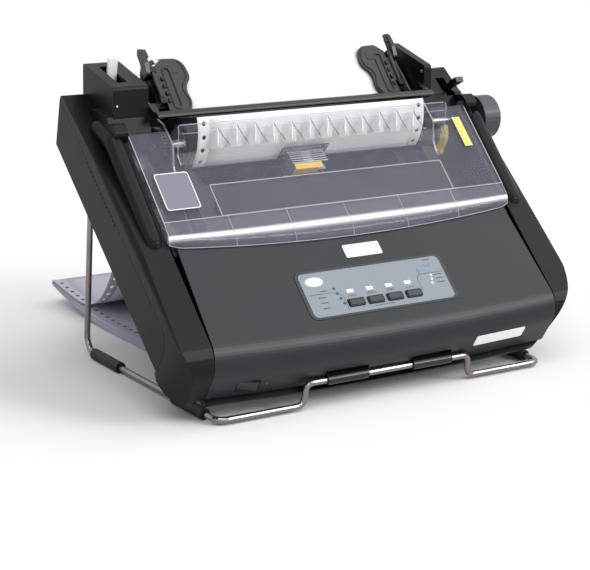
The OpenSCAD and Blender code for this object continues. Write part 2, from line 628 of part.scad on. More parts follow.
// Power switch on the lower front face
switch_w = 23;
switch_d = 11;
switch_x = -150;
face_angle = angle_of(panel_low, nose_tip);
module on_switch() {
    mid = panel_low + 10.5 * unit(nose_tip - panel_low);
    translate([switch_x, mid[0] - bulge(switch_x), mid[1]]) rotate([face_angle, 0, 0])
        rotate([0, bow_turn(switch_x), 0]) children();
}
// How far the front stands forward at x, and which way it faces there
function bulge(x) = bow * (1 - pow(x / panel_half, 2));
function bow_turn(x) = atan(2 * bow * x / pow(panel_half, 2));
switch_pin_r = 1;
switch_pin_z = -5;
// Both ends of the rocker lie on a circle about its pin, so that it clears its opening
function rocker_edge(side, z) = [side * sqrt(pow(switch_w / 2 + 0.2, 2) - pow(z - switch_pin_z, 2)), z];
module power_rocker() {
    color([0.07, 0.07, 0.075]) on_stand() on_switch() {
        intersection() {
            translate([0, 0, switch_pin_z - 3]) rounded_plate(switch_w, switch_d, 12, 1);
            rotate([90, 0, 0]) translate([0, 0, -switch_d]) linear_extrude(2 * switch_d) polygon([
                rocker_edge(-1, -2), [-4, switch_pin_z - 3], [4, switch_pin_z - 3], rocker_edge(1, -2),
                rocker_edge(1, 0), rocker_edge(1, 2.2), [0, 0.6], rocker_edge(-1, -0.4)]);
        }
        translate([0, 0, switch_pin_z]) rotate([90, 0, 0]) translate([0, 0, -switch_d / 2 - 1.6])
            cylinder(r = switch_pin_r, h = switch_d + 3.2);
    }
}

// ---- control panel ----
overlay_w = 156;
overlay_d = 45.6;
bezel_w = overlay_w + 8;
bezel_d = overlay_d + 5;
bezel_s = 51.8;                          // its middle, up the slope of the front panel
key_s = bezel_s - 13;
module control_bezel() {
    color([0.1, 0.1, 0.12]) on_stand() on_panel() difference() {
        translate([0, bezel_s, -9]) rounded_plate(bezel_w, bezel_d, 9.6, 7);
        translate([0, bezel_s, -0.6]) rounded_plate(overlay_w + 0.4, overlay_d + 0.4, 3, 5);
        translate([0, bezel_s, -7.6]) rounded_plate(bezel_w - 6, bezel_d - 6, 4.6, 4);
        for (i = [0 : 3]) translate([key_x(i), key_s, -7]) rounded_plate(key_w + 2 * key_gap,
                key_d + 2 * key_gap, 9, 1.4);
    }
}
function key_x(i) = (i - 1.5) * key_pitch + 2.3;
lamp_s = 4.2;
function lamp_places() = concat(
    [for (i = [0 : 2]) [62 - i * 1.2, bezel_s + 3.4 - i * 4.2]],
    [for (i = [0 : 3]) [-46.5 + i * 1.4, bezel_s + 4 - i * 5.4]]);
module control_overlay() {
    color([0.62, 0.66, 0.68]) on_stand() on_panel() difference() {
        translate([0, bezel_s, -0.6]) rounded_plate(overlay_w, overlay_d, 0.8, 5);
        for (i = [0 : 3]) translate([key_x(i), key_s, -1]) rounded_plate(key_w + 2 * key_gap,
                key_d + 2 * key_gap, 2, 1.4);
        for (p = lamp_places()) translate([p[0], p[1], -1]) cylinder(r = 1.25, h = 2);
    }
}
module status_lamps() {
    color([0.9, 0.92, 0.9]) on_stand() on_panel() for (p = lamp_places())
        translate([p[0], p[1], -0.6]) cylinder(r = 1.2, h = 1.1);
}
module key_cap(i) {
    color([0.23, 0.24, 0.25]) on_stand() on_panel() translate([key_x(i), key_s, 0]) {
        translate([0, 0, -4]) rounded_plate(key_w, key_d, 5.8, 1.2);
        translate([0, 0, -4.6]) rounded_plate(key_w + 1.6, key_d + 1.6, 1.3, 1.6);
    }
}
module key_1() key_cap(0);
module key_2() key_cap(1);
module key_3() key_cap(2);
module key_4() key_cap(3);
plate_x = 123.5;
module name_plates() {
    color([0.92, 0.93, 0.94]) on_stand() {
        on_panel() translate([1.5, 92, bow * tan(panel_slope) + 0.03]) rounded_plate(40, 13.6, 0.8, 1.2);
        translate([plate_x, panel_low[0] - bulge(plate_x), panel_low[1]])
            rotate([face_angle, 0, 0]) rotate([0, bow_turn(plate_x), 0])
                translate([0, 21, 0.05]) rounded_plate(59, 12.3, 0.8, 1.2);
    }
}

// ---- clear cover ----
// The front band bows out towards its lower edge; each row is a station across the cover
band_n = 22;
band_step = 0.15;                        // the band is this much thinner than the plate on each side
function band_outer() = path([[cover_crease + [1.2, 0.08], 0], [[150, 68.6], 5.5], [cover_front, 0]], 6);
function band_ring(x) =
    let (
        share = 1 - pow(min(1, abs(x) / cover_half), 2),
        edge = max(0, abs(x) - (cover_half - 14)) / 14,
        pts = strip(band_outer(), band_step, cover_t - band_step)
    )
    [for (p = pts) let (k = min(1, max(0, (cover_crease[0] - p[0]) / 19)))
        [x, p[0] - k * (bow * 2.2 * share - bow * 0.2 - 3.2 * edge * edge), p[1]]];
module cover_band() {
    xs = [for (i = [0 : band_n]) let (t = -1 + 2 * i / band_n)
        (cover_half - band_step) * (t * 1.35 - 0.35 * t * t * t)];
    rings = [for (x = xs) band_ring(x)];
    k = len(rings[0]);
    skin = [for (i = [0 : band_n - 1]) for (j = [0 : k - 1]) let (q = (j + 1) % k)
        each [[i * k + j, (i + 1) * k + j, i * k + q], [i * k + q, (i + 1) * k + j, (i + 1) * k + q]]];
    half = k / 2;
    cap0 = [for (j = [0 : half - 2]) each [[j, j + 1, k - 1 - j], [j + 1, k - 2 - j, k - 1 - j]]];
    cap1 = [for (f = cap0) [for (q = reversed(f)) q + band_n * k]];
    polyhedron([for (r = rings) each r], concat(skin, cap0, cap1));
}
function cover_plane(v) =
    cover_crease[1] + (v - cover_crease[0]) * (hinge[1] - cover_crease[1]) / (hinge[0] - cover_crease[0]);
hood_start = 226;
arm_v = 263.8;                           // rear end of the arms beside the hood
hood_top = 122;                          // direction of the hood's rim from the hinge axis
function hood_line() = concat(
    [[hood_start - 7, cover_plane(hood_start - 7)]],
    path([[[hood_start, cover_plane(hood_start)], 0], [[236, 78.3], 8],
            [hinge + (hood_r + cover_t / 2 + 0.9) * [cos(164), sin(164)], 0]], 4),
    arc(hinge, hood_r + cover_t / 2, 158, hood_top, 8));
module access_cover() {
    color([0.55, 0.57, 0.6, 0.35]) on_stand() {
        difference() {
            union() {
                cover_band();
                // main plate and its two arms
                across(-cover_half, cover_half) polygon([cover_crease, [hood_start,
                        cover_plane(hood_start)],
                    [hood_start, cover_plane(hood_start) - cover_t], cover_crease - [0, cover_t]]);
                both_sides() across(hood_half, cover_half) polygon(outline([[[hood_start - 1,
                        cover_plane(hood_start - 1)], 0],
                    [[hood_start - 1, cover_plane(hood_start - 1) - cover_t], 0], [[arm_v,
                        cover_plane(arm_v) - cover_t], 0], [[arm_v, cover_plane(arm_v)], 1]], 3));
                // hood over the print line
                across(-hood_half - cover_t, hood_half + cover_t) polygon(strip(hood_line(),
                        -cover_t / 2, cover_t / 2));
                both_sides() across(hood_half, hood_half + cover_t) polygon(concat(
                    [for (p = clean(hood_line())) if (p[0] > hood_start + 1) p], [hinge - [8.5, 1.2],
                        [hood_start + 1, cover_plane(hood_start) - 1.2]]));
                // side skirts with the hinge ears
                both_sides() across(cover_half - cover_t,
                        cover_half) polygon(outline([[cover_crease + [1, -0.3], 0], [hinge + [4.5, 0.5],
                        2.5],
                    [hinge + [3.5, -5.5], 2.5], [[250, 69], 3], [cover_crease + [4, -6], 0],
                        [cover_crease + [-3, -5], 0], [cover_crease + [-2, -1.5], 0]], 5));
                both_sides() bar(hinge, hinge_pin_r, cover_half - 1, cover_half + 5);
            }
        }
    }
}
module on_cover() translate([0, cover_crease[0], cover_crease[1]])
    rotate([atan2(hinge[1] - cover_crease[1], hinge[0] - cover_crease[0]), 0, 0]) children();
module cover_labels() {
    color([0.5, 0.51, 0.55]) on_stand() on_cover() {
        translate([26 - cover_half, 31.5, 0.02]) rounded_plate(35, 39.5, 0.5, 3);
        translate([(hood_half + cover_half) / 2 + 3.25, 64.5, 0.02]) rounded_plate(9.5, 35, 0.5, 0.5);
    }
}

// ---- paper feed ----
module tear_bar() {
    left = -tower_in + play;
    right = plate_in - play;
    color([0.1, 0.1, 0.12]) on_stand() {
        across(left, right) polygon(outline([
            [[271.5, 90.6], 0.6], [[269.8, 89.4], 0.4], [[272.6, 84.3], 0], [[277.5, 84.2], 2],
            [[279.5, 78.6], 0], [[281, 78.6], 0], [[280.4, 85.6], 1.5], [[276.6, 89.6], 1]], 3));
        // ends that reach back between the towers
        for (x = [left, right - 6]) across(x, x + 6) polygon([[279.5, 79.5], [292, 79.5], [292, 83],
                [280, 86]]);
    }
}
module frame_plate(x0, left) {
    difference() {
        across(x0, x0 + frame_t) polygon(outline([[[160, floor_top], 0], [[160, 40], 4], [[196, 44], 4],
                [[236, 60], 4], [[250, 74], 4],
            [[274, 74], 4], [[292, 66], 4], [[342, 68], 4], [[341, 55], 2], [[327, 54], 2], [[326, 44],
                0], [[309, floor_top], 0]], 4));
        bar(platen, platen_shaft_r + 3, x0 - 1, x0 + frame_t + 1);
        bar(guide, guide_r + 0.02, x0 - 1, x0 + frame_t + 1);
        bar(drive, 5.5, x0 - 1, x0 + frame_t + 1);
        bar(support, 3.02, x0 - 1, x0 + frame_t + 1);
        if (!left) bar(gap_pivot, 2 + shaft_clear, x0 - 1, x0 + frame_t + 1);
        // room for the rail
        across(x0 - 1, x0 + frame_t + 1) polygon([[rail_v - 9, 33], [rail_v - 9, 41], [rail_v + 3, 41],
                [rail_v + 3, 33]]);
    }
    // foot
    difference() {
        block([left ? x0 + frame_t - 0.01 : x0 - 9, left ? x0 + frame_t + 9 : x0 + 0.01], [200, 300],
                [floor_top, floor_top + 2]);
        for (v = [212, 288]) translate([left ? x0 + frame_t + 5 : x0 - 5, v, 0]) cylinder(r = 1.6, h = 30);
    }
}
motor_x = gear_x - gear_w - 3;
module frame_left() {
    color([0.62, 0.63, 0.65]) on_stand() {
        frame_plate(-frame_x - frame_t, true);
        // studs of the idler gears
        for (p = [idler_1, idler_2]) bar(p, 2, gear_x - gear_w - 1, -frame_x - frame_t);
        // bracket that carries the feed motor
        difference() {
            union() {
                across(motor_x - 1.5, motor_x) polygon(outline([[[pinion[0] - 22, floor_top], 0],
                        [[pinion[0] - 22, pinion[1] + 14], 4],
                    [[pinion[0] + 19, pinion[1] + 14], 4], [[pinion[0] + 19, floor_top], 0]]));
                block([motor_x - 1.5, -frame_x - frame_t + 0.01], [pinion[0] - 22, pinion[0] + 22],
                        [floor_top, floor_top + 1.5]);
            }
            bar(pinion, 6, motor_x - 3, motor_x + 1);
        }
    }
}
module frame_right() {
    color([0.62, 0.63, 0.65]) on_stand() frame_plate(frame_x, false);
}
module platen_bushes() {
    color([0.85, 0.83, 0.78]) on_stand() both_sides() difference() {
        union() {
            bar(platen, platen_shaft_r + 2.95, frame_x - 1.5, frame_x + frame_t);
            bar(platen, platen_shaft_r + 4.5, frame_x - 1.5, frame_x - 0.05);
        }
        bar(platen, platen_shaft_r + shaft_clear, frame_x - 3, frame_x + frame_t + 1);
    }
    color([0.85, 0.83, 0.78]) on_stand() both_sides() difference() {
        bar(drive, 5.45, frame_x - 1.5, frame_x + frame_t);
        bar(drive, 4 + shaft_clear, frame_x - 3, frame_x + frame_t + 1);
    }
}
core_r = 20;
module platen_core() {
    color([0.7, 0.71, 0.72]) on_stand() difference() {
        union() {
            bar(platen, core_r, -platen_half, platen_half);
            bar(platen, platen_shaft_r, gear_x - gear_w - 1, knob_x - 12);
            bar(platen, platen_shaft_r + 2, -frame_x + 2, frame_x - 2);
        }
        // flat that the knob and the gear key onto
        block([case_half - 8, knob_x], [platen[0] - 9, platen[0] + 9], [platen[1] + platen_shaft_r - 1,
                platen[1] + 9]);
        block([gear_x - gear_w - 2, gear_x], [platen[0] - 9, platen[0] + 9],
                [platen[1] + platen_shaft_r - 1, platen[1] + 9]);
    }
}
module platen_rubber() {
    color([0.07, 0.07, 0.075]) on_stand() difference() {
        bar(platen, platen_r, -platen_half, platen_half);
        bar(platen, core_r + 0.02, -platen_half - 1, platen_half + 1);
    }
}
module platen_gear() {
    color([0.9, 0.89, 0.85]) on_stand() gear(platen, platen_teeth, platen_phase, platen_shaft_r + 0.02);
}
module platen_knob() {
    ribs = 36;
    color([0.24, 0.25, 0.28]) on_stand() difference() {
        union() {
            bar(platen, knob_r - 0.6, case_half - 6, knob_x - 1.2);
            bar(platen, knob_r - 1.8, case_half - 6, knob_x);
            bar(platen, knob_r, case_half - 6, case_half - 2.5);
            for (i = [0 : ribs - 1]) translate([case_half - 4, platen[0],
                    platen[1]]) rotate([i * 360 / ribs, 0, 0])
                translate([0, 0, knob_r - 1.2]) rotate([0, 90, 0]) cylinder(r = 0.75, h = knob_out + 2,
                        $fn = 6);
        }
        bar(platen, platen_shaft_r + 0.02, case_half - 8, knob_x - 11.5);
        bar(platen, knob_r - 4, knob_x - 1.4, knob_x + 1);
    }
}
module idler_gear_1() {
    color([0.9, 0.89, 0.85]) on_stand() gear(idler_1, idler_teeth, idler_1_phase, 2 + shaft_clear);
}
module idler_gear_2() {
    color([0.9, 0.89, 0.85]) on_stand() gear(idler_2, idler_teeth, idler_2_phase, 2 + shaft_clear);
}
module feed_motor() {
    color([0.35, 0.36, 0.38]) on_stand() difference() {
        union() {
            bar(pinion, 17, motor_x - 1.5 - 24, motor_x - 1.5);
            bar(pinion, 5.8, motor_x - 1.5, motor_x - 0.3);
        }
        bar(pinion, 1.5 + shaft_clear, motor_x - 24, motor_x + 1);
    }
}
module feed_pinion() {
    color([0.78, 0.66, 0.35]) on_stand() {
        gear(pinion, idler_teeth, pinion_phase, 1.5 - 0.01);
        bar(pinion, 1.5, motor_x - 20, gear_x);
    }
}
square_a = 6;                            // side of the square tractor shaft
module tractor_drive_shaft() {
    color([0.72, 0.73, 0.75]) on_stand() {
        translate([0, drive[0], drive[1]]) rotate([tract_tilt, 0, 0])
            block([-frame_x + 2, frame_x - 2], [-square_a / 2, square_a / 2], [-square_a / 2,
                    square_a / 2]);
        bar(drive, 4, gear_x - 1, -frame_x + 2.01);
        bar(drive, 4, frame_x - 2.01, frame_x + 3);
        difference() {
            gear(drive, tractor_teeth, tractor_phase, 1);
        }
    }
}
module tractor_support_shaft() {
    color([0.72, 0.73, 0.75]) on_stand() bar(support, 3, -frame_x - frame_t - 1, frame_x + frame_t + 1);
}

// ---- tractors ----
// Each tractor slides on both shafts under the paper's edge; s runs along its slope
tract_in = 111;                          // inner side
tract_out = 138;                         // outer side
tract_s0 = 1;
tract_s1 = 45;
flap_s0 = -8;
under_paper = -(paper_t / 2 + 0.4);      // top of the tractor, under the paper
module on_tractor() translate([0, tract_ref[0], tract_ref[1]]) rotate([tract_tilt, 0, 0]) children();
function local(p) = turned(p, tract_ref, -tract_tilt) - tract_ref;
module tractor_body() difference() {
    on_tractor() union() {
        block([tract_in, tract_out], [tract_s0, tract_s1], [-19, under_paper]);
        // lugs of the flap's hinge, outside the paper's edge
        for (s = [tract_s0 + 2, tract_s1 - 8]) block([tract_out - 6, tract_out], [s, s + 6],
                [under_paper - 1, 6.4]);
    }
    // room for the pin wheel, the square shaft and the round shaft
    difference() {
        bar(drive, pin_wheel_r + 2.6, hole_half - 3.4, hole_half + 3.4);
    }
    bar(drive, 4.8, tract_in - 1, tract_out + 1);
    bar(support, 3.05, tract_in - 1, tract_out + 1);
    // hinge bore of the flap
    on_tractor() translate([flap_axis[0], tract_s0 - 1, flap_axis[1]]) rotate([-90, 0,
            0]) cylinder(r = 1.3 + shaft_clear, h = 70);
    // pivot of the lock lever
    on_tractor() translate([tract_out - 9, lock_s, lock_n]) rotate([0, 90,
            0]) cylinder(r = 1.5 + shaft_clear, h = 12);
    // lightening pockets in the inner side
    on_tractor() block([tract_in - 1, tract_in + 4], [18, 28], [-16, -5]);
}
flap_axis = [tract_out - 3, 4.4];        // (x, height over the paper's plane)
lock_s = 38;
lock_n = -3.2;
module tractor_right() {
    color([0.13, 0.13, 0.14]) on_stand() tractor_body();
}
module tractor_left() {
    color([0.13, 0.13, 0.14]) on_stand() mirror([1, 0, 0]) tractor_body();
}
flap_low = paper_t / 2 + 0.7;            // underside of the flap
function flap_plan() = outline([
    [[tract_out - 7, flap_s0], 2], [[110, flap_s0], 5], [[104.5, flap_s0 + 11], 12], [[106.5,
        flap_s0 + 27], 14],
    [[97, flap_s0 + 38], 12], [[100, tract_s1 + 6], 12], [[122, tract_s1 + 7], 6], [[tract_out - 7,
        tract_s1 - 1], 3]], 6);
module tractor_flap() on_tractor() difference() {
    union() {
        difference() {
            translate([0, 0, flap_low]) linear_extrude(3) polygon(flap_plan());
            // room for the hinge lugs
            block([tract_out - 6.6, tract_out + 1], [flap_s0 - 1, tract_s1 + 8], [0, 8]);
        }
        // knuckle between the lugs and the pin through them
        block([tract_out - 8, tract_out - 3], [tract_s0 + 8.4, tract_s1 - 8.4], [flap_low, flap_low + 3]);
        translate([flap_axis[0], tract_s0 + 8.4, flap_axis[1]]) rotate([-90, 0, 0]) cylinder(r = 2.3,
                h = tract_s1 - tract_s0 - 16.8);
        translate([flap_axis[0], tract_s0 + 2, flap_axis[1]]) rotate([-90, 0, 0]) cylinder(r = 1.3,
                h = tract_s1 - tract_s0 - 4);
    }
    // long slot over the pins
    translate([hole_half, (flap_s0 + tract_s1) / 2 + 2, -1]) rounded_plate(5.4, 41, 10, 2.4);
}
module flap_right() {
    color([0.27, 0.27, 0.3]) on_stand() tractor_flap();
}
module flap_left() {
    color([0.27, 0.27, 0.3]) on_stand() mirror([1, 0, 0]) tractor_flap();
}
module pin_wheel() difference() {
    union() {
        bar(drive, pin_wheel_r - 1, hole_half - 3, hole_half + 3);
        for (i = [0 : pin_count - 1]) translate([hole_half, drive[0], drive[1]])
            rotate([tract_tilt + (i + 0.5) * 360 / pin_count, 0, 0]) translate([0, 0, pin_wheel_r - 2])
                cylinder(r1 = 1.9, r2 = 1.2, h = 1.8);
    }
    translate([0, drive[0], drive[1]]) rotate([tract_tilt, 0, 0])
        block([hole_half - 4, hole_half + 4], [-square_a / 2 - 0.1, square_a / 2 + 0.1],
                [-square_a / 2 - 0.1, square_a / 2 + 0.1]);
}
module pin_wheel_right() {
    color([0.12, 0.12, 0.13]) on_stand() pin_wheel();
}
module pin_wheel_left() {
    color([0.12, 0.12, 0.13]) on_stand() mirror([1, 0, 0]) pin_wheel();
}
module lock_lever() on_tractor() {
    translate([tract_out - 7, lock_s, lock_n]) rotate([0, 90, 0]) cylinder(r = 1.5, h = 9);
    translate([tract_out + 0.3, lock_s, lock_n]) rotate([90, 0, 90]) linear_extrude(4.5) polygon(outline([
        [[-4, -3.7], 3], [[4, -3.7], 3], [[9, 4], 4], [[21, 4.5], 3], [[26, 9], 2], [[21, 11.8], 3], [[8,
            13], 4], [[-4, 9], 4]], 4));
    translate([tract_out - 2.5, lock_s + 14, lock_n + 9.5]) rotate([-8, 0, 0]) block([0, 7.3], [0, 9],
            [0, 2.2]);
}
module lock_lever_right() {
    color([0.09, 0.09, 0.1]) on_stand() lock_lever();
}
module lock_lever_left() {
    color([0.09, 0.09, 0.1]) on_stand() mirror([1, 0, 0]) lock_lever();
}

// ---- print head and carriage ----
module guide_shaft() {
    color([0.75, 0.76, 0.78]) on_stand() bar(guide, guide_r, -frame_x - frame_t - 2, frame_x + frame_t + 2);
}
module carriage_rail() {
    color([0.62, 0.63, 0.65]) on_stand() across(-frame_x - frame_t - 2, frame_x + frame_t + 2) polygon([
        [rail_v - 8, 34], [rail_v + 2, 34], [rail_v + 2, 36], [rail_v - 6, 36], [rail_v - 6, 40],
            [rail_v - 8, 40]]);
}
carriage_bush = guide_r + shaft_clear;
module carriage() {
    color([0.12, 0.12, 0.13]) on_stand() translate([head_x, 0, 0]) difference() {
        union() {
            bar(guide, guide_r + 4, -carriage_w / 2, carriage_w / 2);
            block([-carriage_w / 2, carriage_w / 2], [rail_v - 4, guide[0]], [guide[1] + 0.5,
                    guide[1] + 6]);
            // pad that the print head is screwed to
            block([-head_w / 2 + 2, head_w / 2 - 2], [guide[0] + 2, 229], [guide[1], guide[1] + 10.1]);
            // shoe that runs on the front rail
            block([-10, 10], [rail_v - 5, rail_v + 2], [36 + play, guide[1] + 2]);
            // clamp round the belt
            block([-8, 8], [belt_v - pulley_r - 3.5, belt_v - pulley_r + 3.5], [belt_w - 2, guide[1] + 1]);
        }
        bar(guide, carriage_bush, -carriage_w, carriage_w);
        // the belt passes through its clamp
        block([-carriage_w, carriage_w], [belt_v - pulley_r - 1.2 - play,
                belt_v - pulley_r + 0.4 + play], [belt_w - play, belt_w + belt_h + play]);
    }
}
head_w = 40;
nose_v = platen[0] - paper_r - paper_t / 2 - 1.4;
module print_head() {
    color([0.3, 0.31, 0.33]) on_stand() translate([head_x, 0, 0]) {
        // body on the carriage
        block([-head_w / 2, head_w / 2], [216, 232.8], [guide[1] + 10.1, 60]);
        // nose that carries the wires to the ribbon
        block([-6, 6], [231, nose_v], [47, 56]);
        // cooling fins
        for (i = [0 : fin_count - 1]) block([-head_w / 2, head_w / 2], [218.5 + i * 2.5,
                219.7 + i * 2.5], [59.8, 69.6 - abs(i - 3) * 0.1]);
        block([-5, 5], [218.5, 219.7 + (fin_count - 1) * 2.5], [59.8, 68]);
    }
}
module head_tag() {
    color([0.9, 0.75, 0.22]) on_stand() translate([head_x - 3, 0, 0]) {
        translate([0, 215.4, 67.6]) rotate([14, 0, 0]) rounded_plate(30, 5.8, 1, 0.5);
        block([-13, 13], [214.2, 216], [54, 68]);
    }
}
// Ribbon cassette lies across the bay, in front of the carriage's path
cass_half = 143;
cass_v = [156, 211];
cass_w = [49, 60.5];
module ribbon_cassette() {
    color([0.2, 0.2, 0.22]) on_stand() difference() {
        union() {
            translate([0, (cass_v[0] + cass_v[1]) / 2, cass_w[0]]) rounded_plate(2 * cass_half,
                    cass_v[1] - cass_v[0], cass_w[1] - cass_w[0], 5);
            both_sides() translate([cass_half - 7, 217, cass_w[0]]) rounded_plate(14, 27,
                    cass_w[1] - cass_w[0] - 1, 3);
        }
        translate([0, (cass_v[0] + cass_v[1]) / 2 + 0.1,
                cass_w[0] + 1.6]) rounded_plate(2 * cass_half - 6, cass_v[1] - cass_v[0] - 6,
                cass_w[1] - cass_w[0] - 3.2, 4);
        translate([-cass_half + 26, 182, cass_w[0] - 1]) cylinder(r = 5 + shaft_clear, h = 20);
        // mouths that the ribbon runs out of
        both_sides() block([cass_half - 9, cass_half - 5], [215, 235], [cass_w[0] + 1.5, cass_w[1] - 2.5]);
    }
}
ribbon_v = nose_v + 0.5;
module ink_ribbon() {
    color([0.04, 0.04, 0.05]) on_stand() {
        block([-cass_half + 6.4, cass_half - 6.4], [ribbon_v, ribbon_v + 0.2], [47.3, 56.5]);
        both_sides() block([cass_half - 6.8, cass_half - 6.4], [222, ribbon_v + 0.2], [51, 56.5]);
    }
}
module ribbon_knob() {
    color([0.13, 0.13, 0.14]) on_stand() translate([-cass_half + 26, 182, 0]) {
        translate([0, 0, cass_w[0] + 0.2]) cylinder(r = 5, h = cass_w[1] - cass_w[0] + 0.2);
        difference() {
            translate([0, 0, cass_w[1] + 0.3]) cylinder(r = 10, h = 4);
            for (i = [0 : 11]) rotate([0, 0, i * 30]) translate([10.6, 0, cass_w[1]]) cylinder(r = 1.2,
                    h = 6);
        }
    }
}
module ring_2d(r) union() {
    translate([-pulley_x, 0]) circle(r = r);
    translate([pulley_x, 0]) circle(r = r);
    square([2 * pulley_x, 2 * r], center = true);
}
module carriage_belt() {
    color([0.08, 0.08, 0.09]) on_stand() translate([0, belt_v,
            belt_w]) linear_extrude(belt_h) difference() {
        ring_2d(pulley_r + 1.2);
        ring_2d(pulley_r + 0.04);
    }
}
module belt_motor() {
    color([0.35, 0.36, 0.38]) on_stand() translate([pulley_x, belt_v, 0]) difference() {
        union() {
            translate([0, 0, floor_top]) cylinder(r = 15, h = belt_w - floor_top - 4);
            translate([0, 0, belt_w - 4.01]) cylinder(r = 5, h = 1.5);
        }
        translate([0, 0, floor_top + 4]) cylinder(r = 1.5 + shaft_clear, h = belt_w);
    }
}
module pulley_body() difference() {
    cylinder(r = pulley_r, h = belt_h);
    for (i = [0 : 15]) rotate([0, 0, i * 22.5]) translate([pulley_r + 0.35, 0, -1]) cylinder(r = 0.7,
            h = belt_h + 2);
}
module drive_pulley() {
    color([0.8, 0.78, 0.7]) on_stand() translate([pulley_x, belt_v, 0]) {
        translate([0, 0, belt_w]) pulley_body();
        translate([0, 0, belt_w - 0.8]) cylinder(r = pulley_r + 1, h = 0.8);
        translate([0, 0, floor_top + 6]) cylinder(r = 1.5, h = belt_w + belt_h - floor_top - 5);
    }
}
module belt_idler() {
    color([0.8, 0.78, 0.7]) on_stand() translate([-pulley_x, belt_v, 0]) difference() {
        union() {
            translate([0, 0, belt_w]) pulley_body();
            translate([0, 0, belt_w - 0.8]) cylinder(r = pulley_r + 1, h = 0.8);
        }
        translate([0, 0, belt_w - 2]) cylinder(r = 2 + shaft_clear, h = 20);
    }
}

// ---- levers ----
release_dir = angle_of(release_pivot, [285, 90]);
module release_lever() {
    color([0.1, 0.1, 0.11]) on_stand() {
        bar(release_pivot, 2, tower_in + 1, tower_out - 1);
        bar(release_pivot, 5, release_x - 4.5, release_x + 4.5);
        translate([0, release_pivot[0], release_pivot[1]]) rotate([release_dir, 0, 0]) {
            block([release_x - 3, release_x + 3], [3, 30], [-2, 3]);
            block([release_x - 4.5, release_x + 4.5], [26, 37], [-2.6, 2.6]);
        }
    }
}
select_pivot = [319, 62];
select_dir = angle_of(select_pivot, [336, 90]);
module select_lever() {
    color([0.93, 0.93, 0.92]) on_stand() {
        bar(select_pivot, 2, -tower_out + 1, -tower_in - 1);
        bar(select_pivot, 5, select_x - 4.6, select_x + 4.6);
        translate([0, select_pivot[0], select_pivot[1]]) rotate([select_dir, 0, 0])
            block([select_x - 4.6, select_x + 4.6], [3, 38], [-1.5, 1.5]);
    }
}
gap_pivot = [238, 40];
gap_x = tower_in + 5.5;
module gap_lever() {
    color([0.85, 0.68, 0.2]) on_stand() {
        bar(gap_pivot, 2, frame_x - 1, gap_x + 3);
        bar(gap_pivot, 5.5, gap_x - 2.5, gap_x + 2.5);
        across(gap_x - 2, gap_x + 2) polygon(concat(
            arc([259, 46], 24.5, 194, 118, 8), reversed(arc([262, 45], 20, 190, 124, 8))));
    }
}

// ---- electronics ----
module main_board() {
    color([0.1, 0.35, 0.2]) on_stand() {
        block([-150, 150], [60, 140], [15, 16.6]);
        for (x = [-140, 0, 140], v = [66, 134]) translate([x, v, floor_top]) cylinder(r = 3,
                h = 15 - floor_top);
        block([-60, -20], [80, 110], [16.6, 20]);
        block([10, 40], [85, 105], [16.6, 19]);
        block([60, 90], [70, 76], [16.6, 25]);
    }
}
supply_x = 34 - case_half;                // middle of the power supply, beside the left wall
module power_supply() {
    color([0.45, 0.36, 0.24]) on_stand() {
        block([supply_x - 20, supply_x + 20], [150, 205], [floor_top, 40]);
        block([supply_x - 27, supply_x + 27], [160, 195], [floor_top, 34]);
    }
}

// ---- paper ----
module paper_web() {
    color([0.95, 0.95, 0.97]) on_desk() translate([-paper_half, 0, 0]) rotate([90, 0, 90])
        linear_extrude(paper_w) polygon(strip(paper_path(), -paper_t / 2, paper_t / 2));
}
module paper_stack() {
    color([0.72, 0.7, 0.78]) on_desk() translate([-paper_half, 0, 0]) rotate([90, 0, 90])
        linear_extrude(paper_w) polygon(concat(
            [[stack_rear - sheet_l, 0]],
            [for (i = [0 : 10]) let (y = under_y + i * (stack_rear - under_y) / 10) [y, lift_off(y,
                under_y, under_r)]],
            [for (i = [10 : -1 : 0]) let (y = curl_y + i * (stack_rear - curl_y) / 10) [y, stack_top(y)]],
            [[stack_rear - sheet_l, stack_h]]));
}

wire_stand();
stand_sleeves();
wire_clips();
lower_case();
upper_case();
front_panel();
tear_bar();
control_bezel();
control_overlay();
key_1();
key_2();
key_3();
key_4();
status_lamps();
name_plates();
power_rocker();
access_cover();
cover_labels();
frame_left();
frame_right();
platen_core();
platen_rubber();
platen_knob();
platen_gear();
platen_bushes();
idler_gear_1();
idler_gear_2();
feed_motor();
feed_pinion();
tractor_drive_shaft();
tractor_support_shaft();
tractor_left();
tractor_right();
flap_left();
flap_right();
pin_wheel_left();
pin_wheel_right();
lock_lever_left();
lock_lever_right();
guide_shaft();
carriage_rail();
carriage();
print_head();
head_tag();
ribbon_cassette();
ribbon_knob();
ink_ribbon();
carriage_belt();
belt_motor();
drive_pulley();
belt_idler();
release_lever();
select_lever();
gap_lever();
main_board();
power_supply();
rear_sockets();
case_screws();
paper_web();
paper_stack();
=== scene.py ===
import math

import bmesh
import bpy
from mathutils import Matrix, Vector


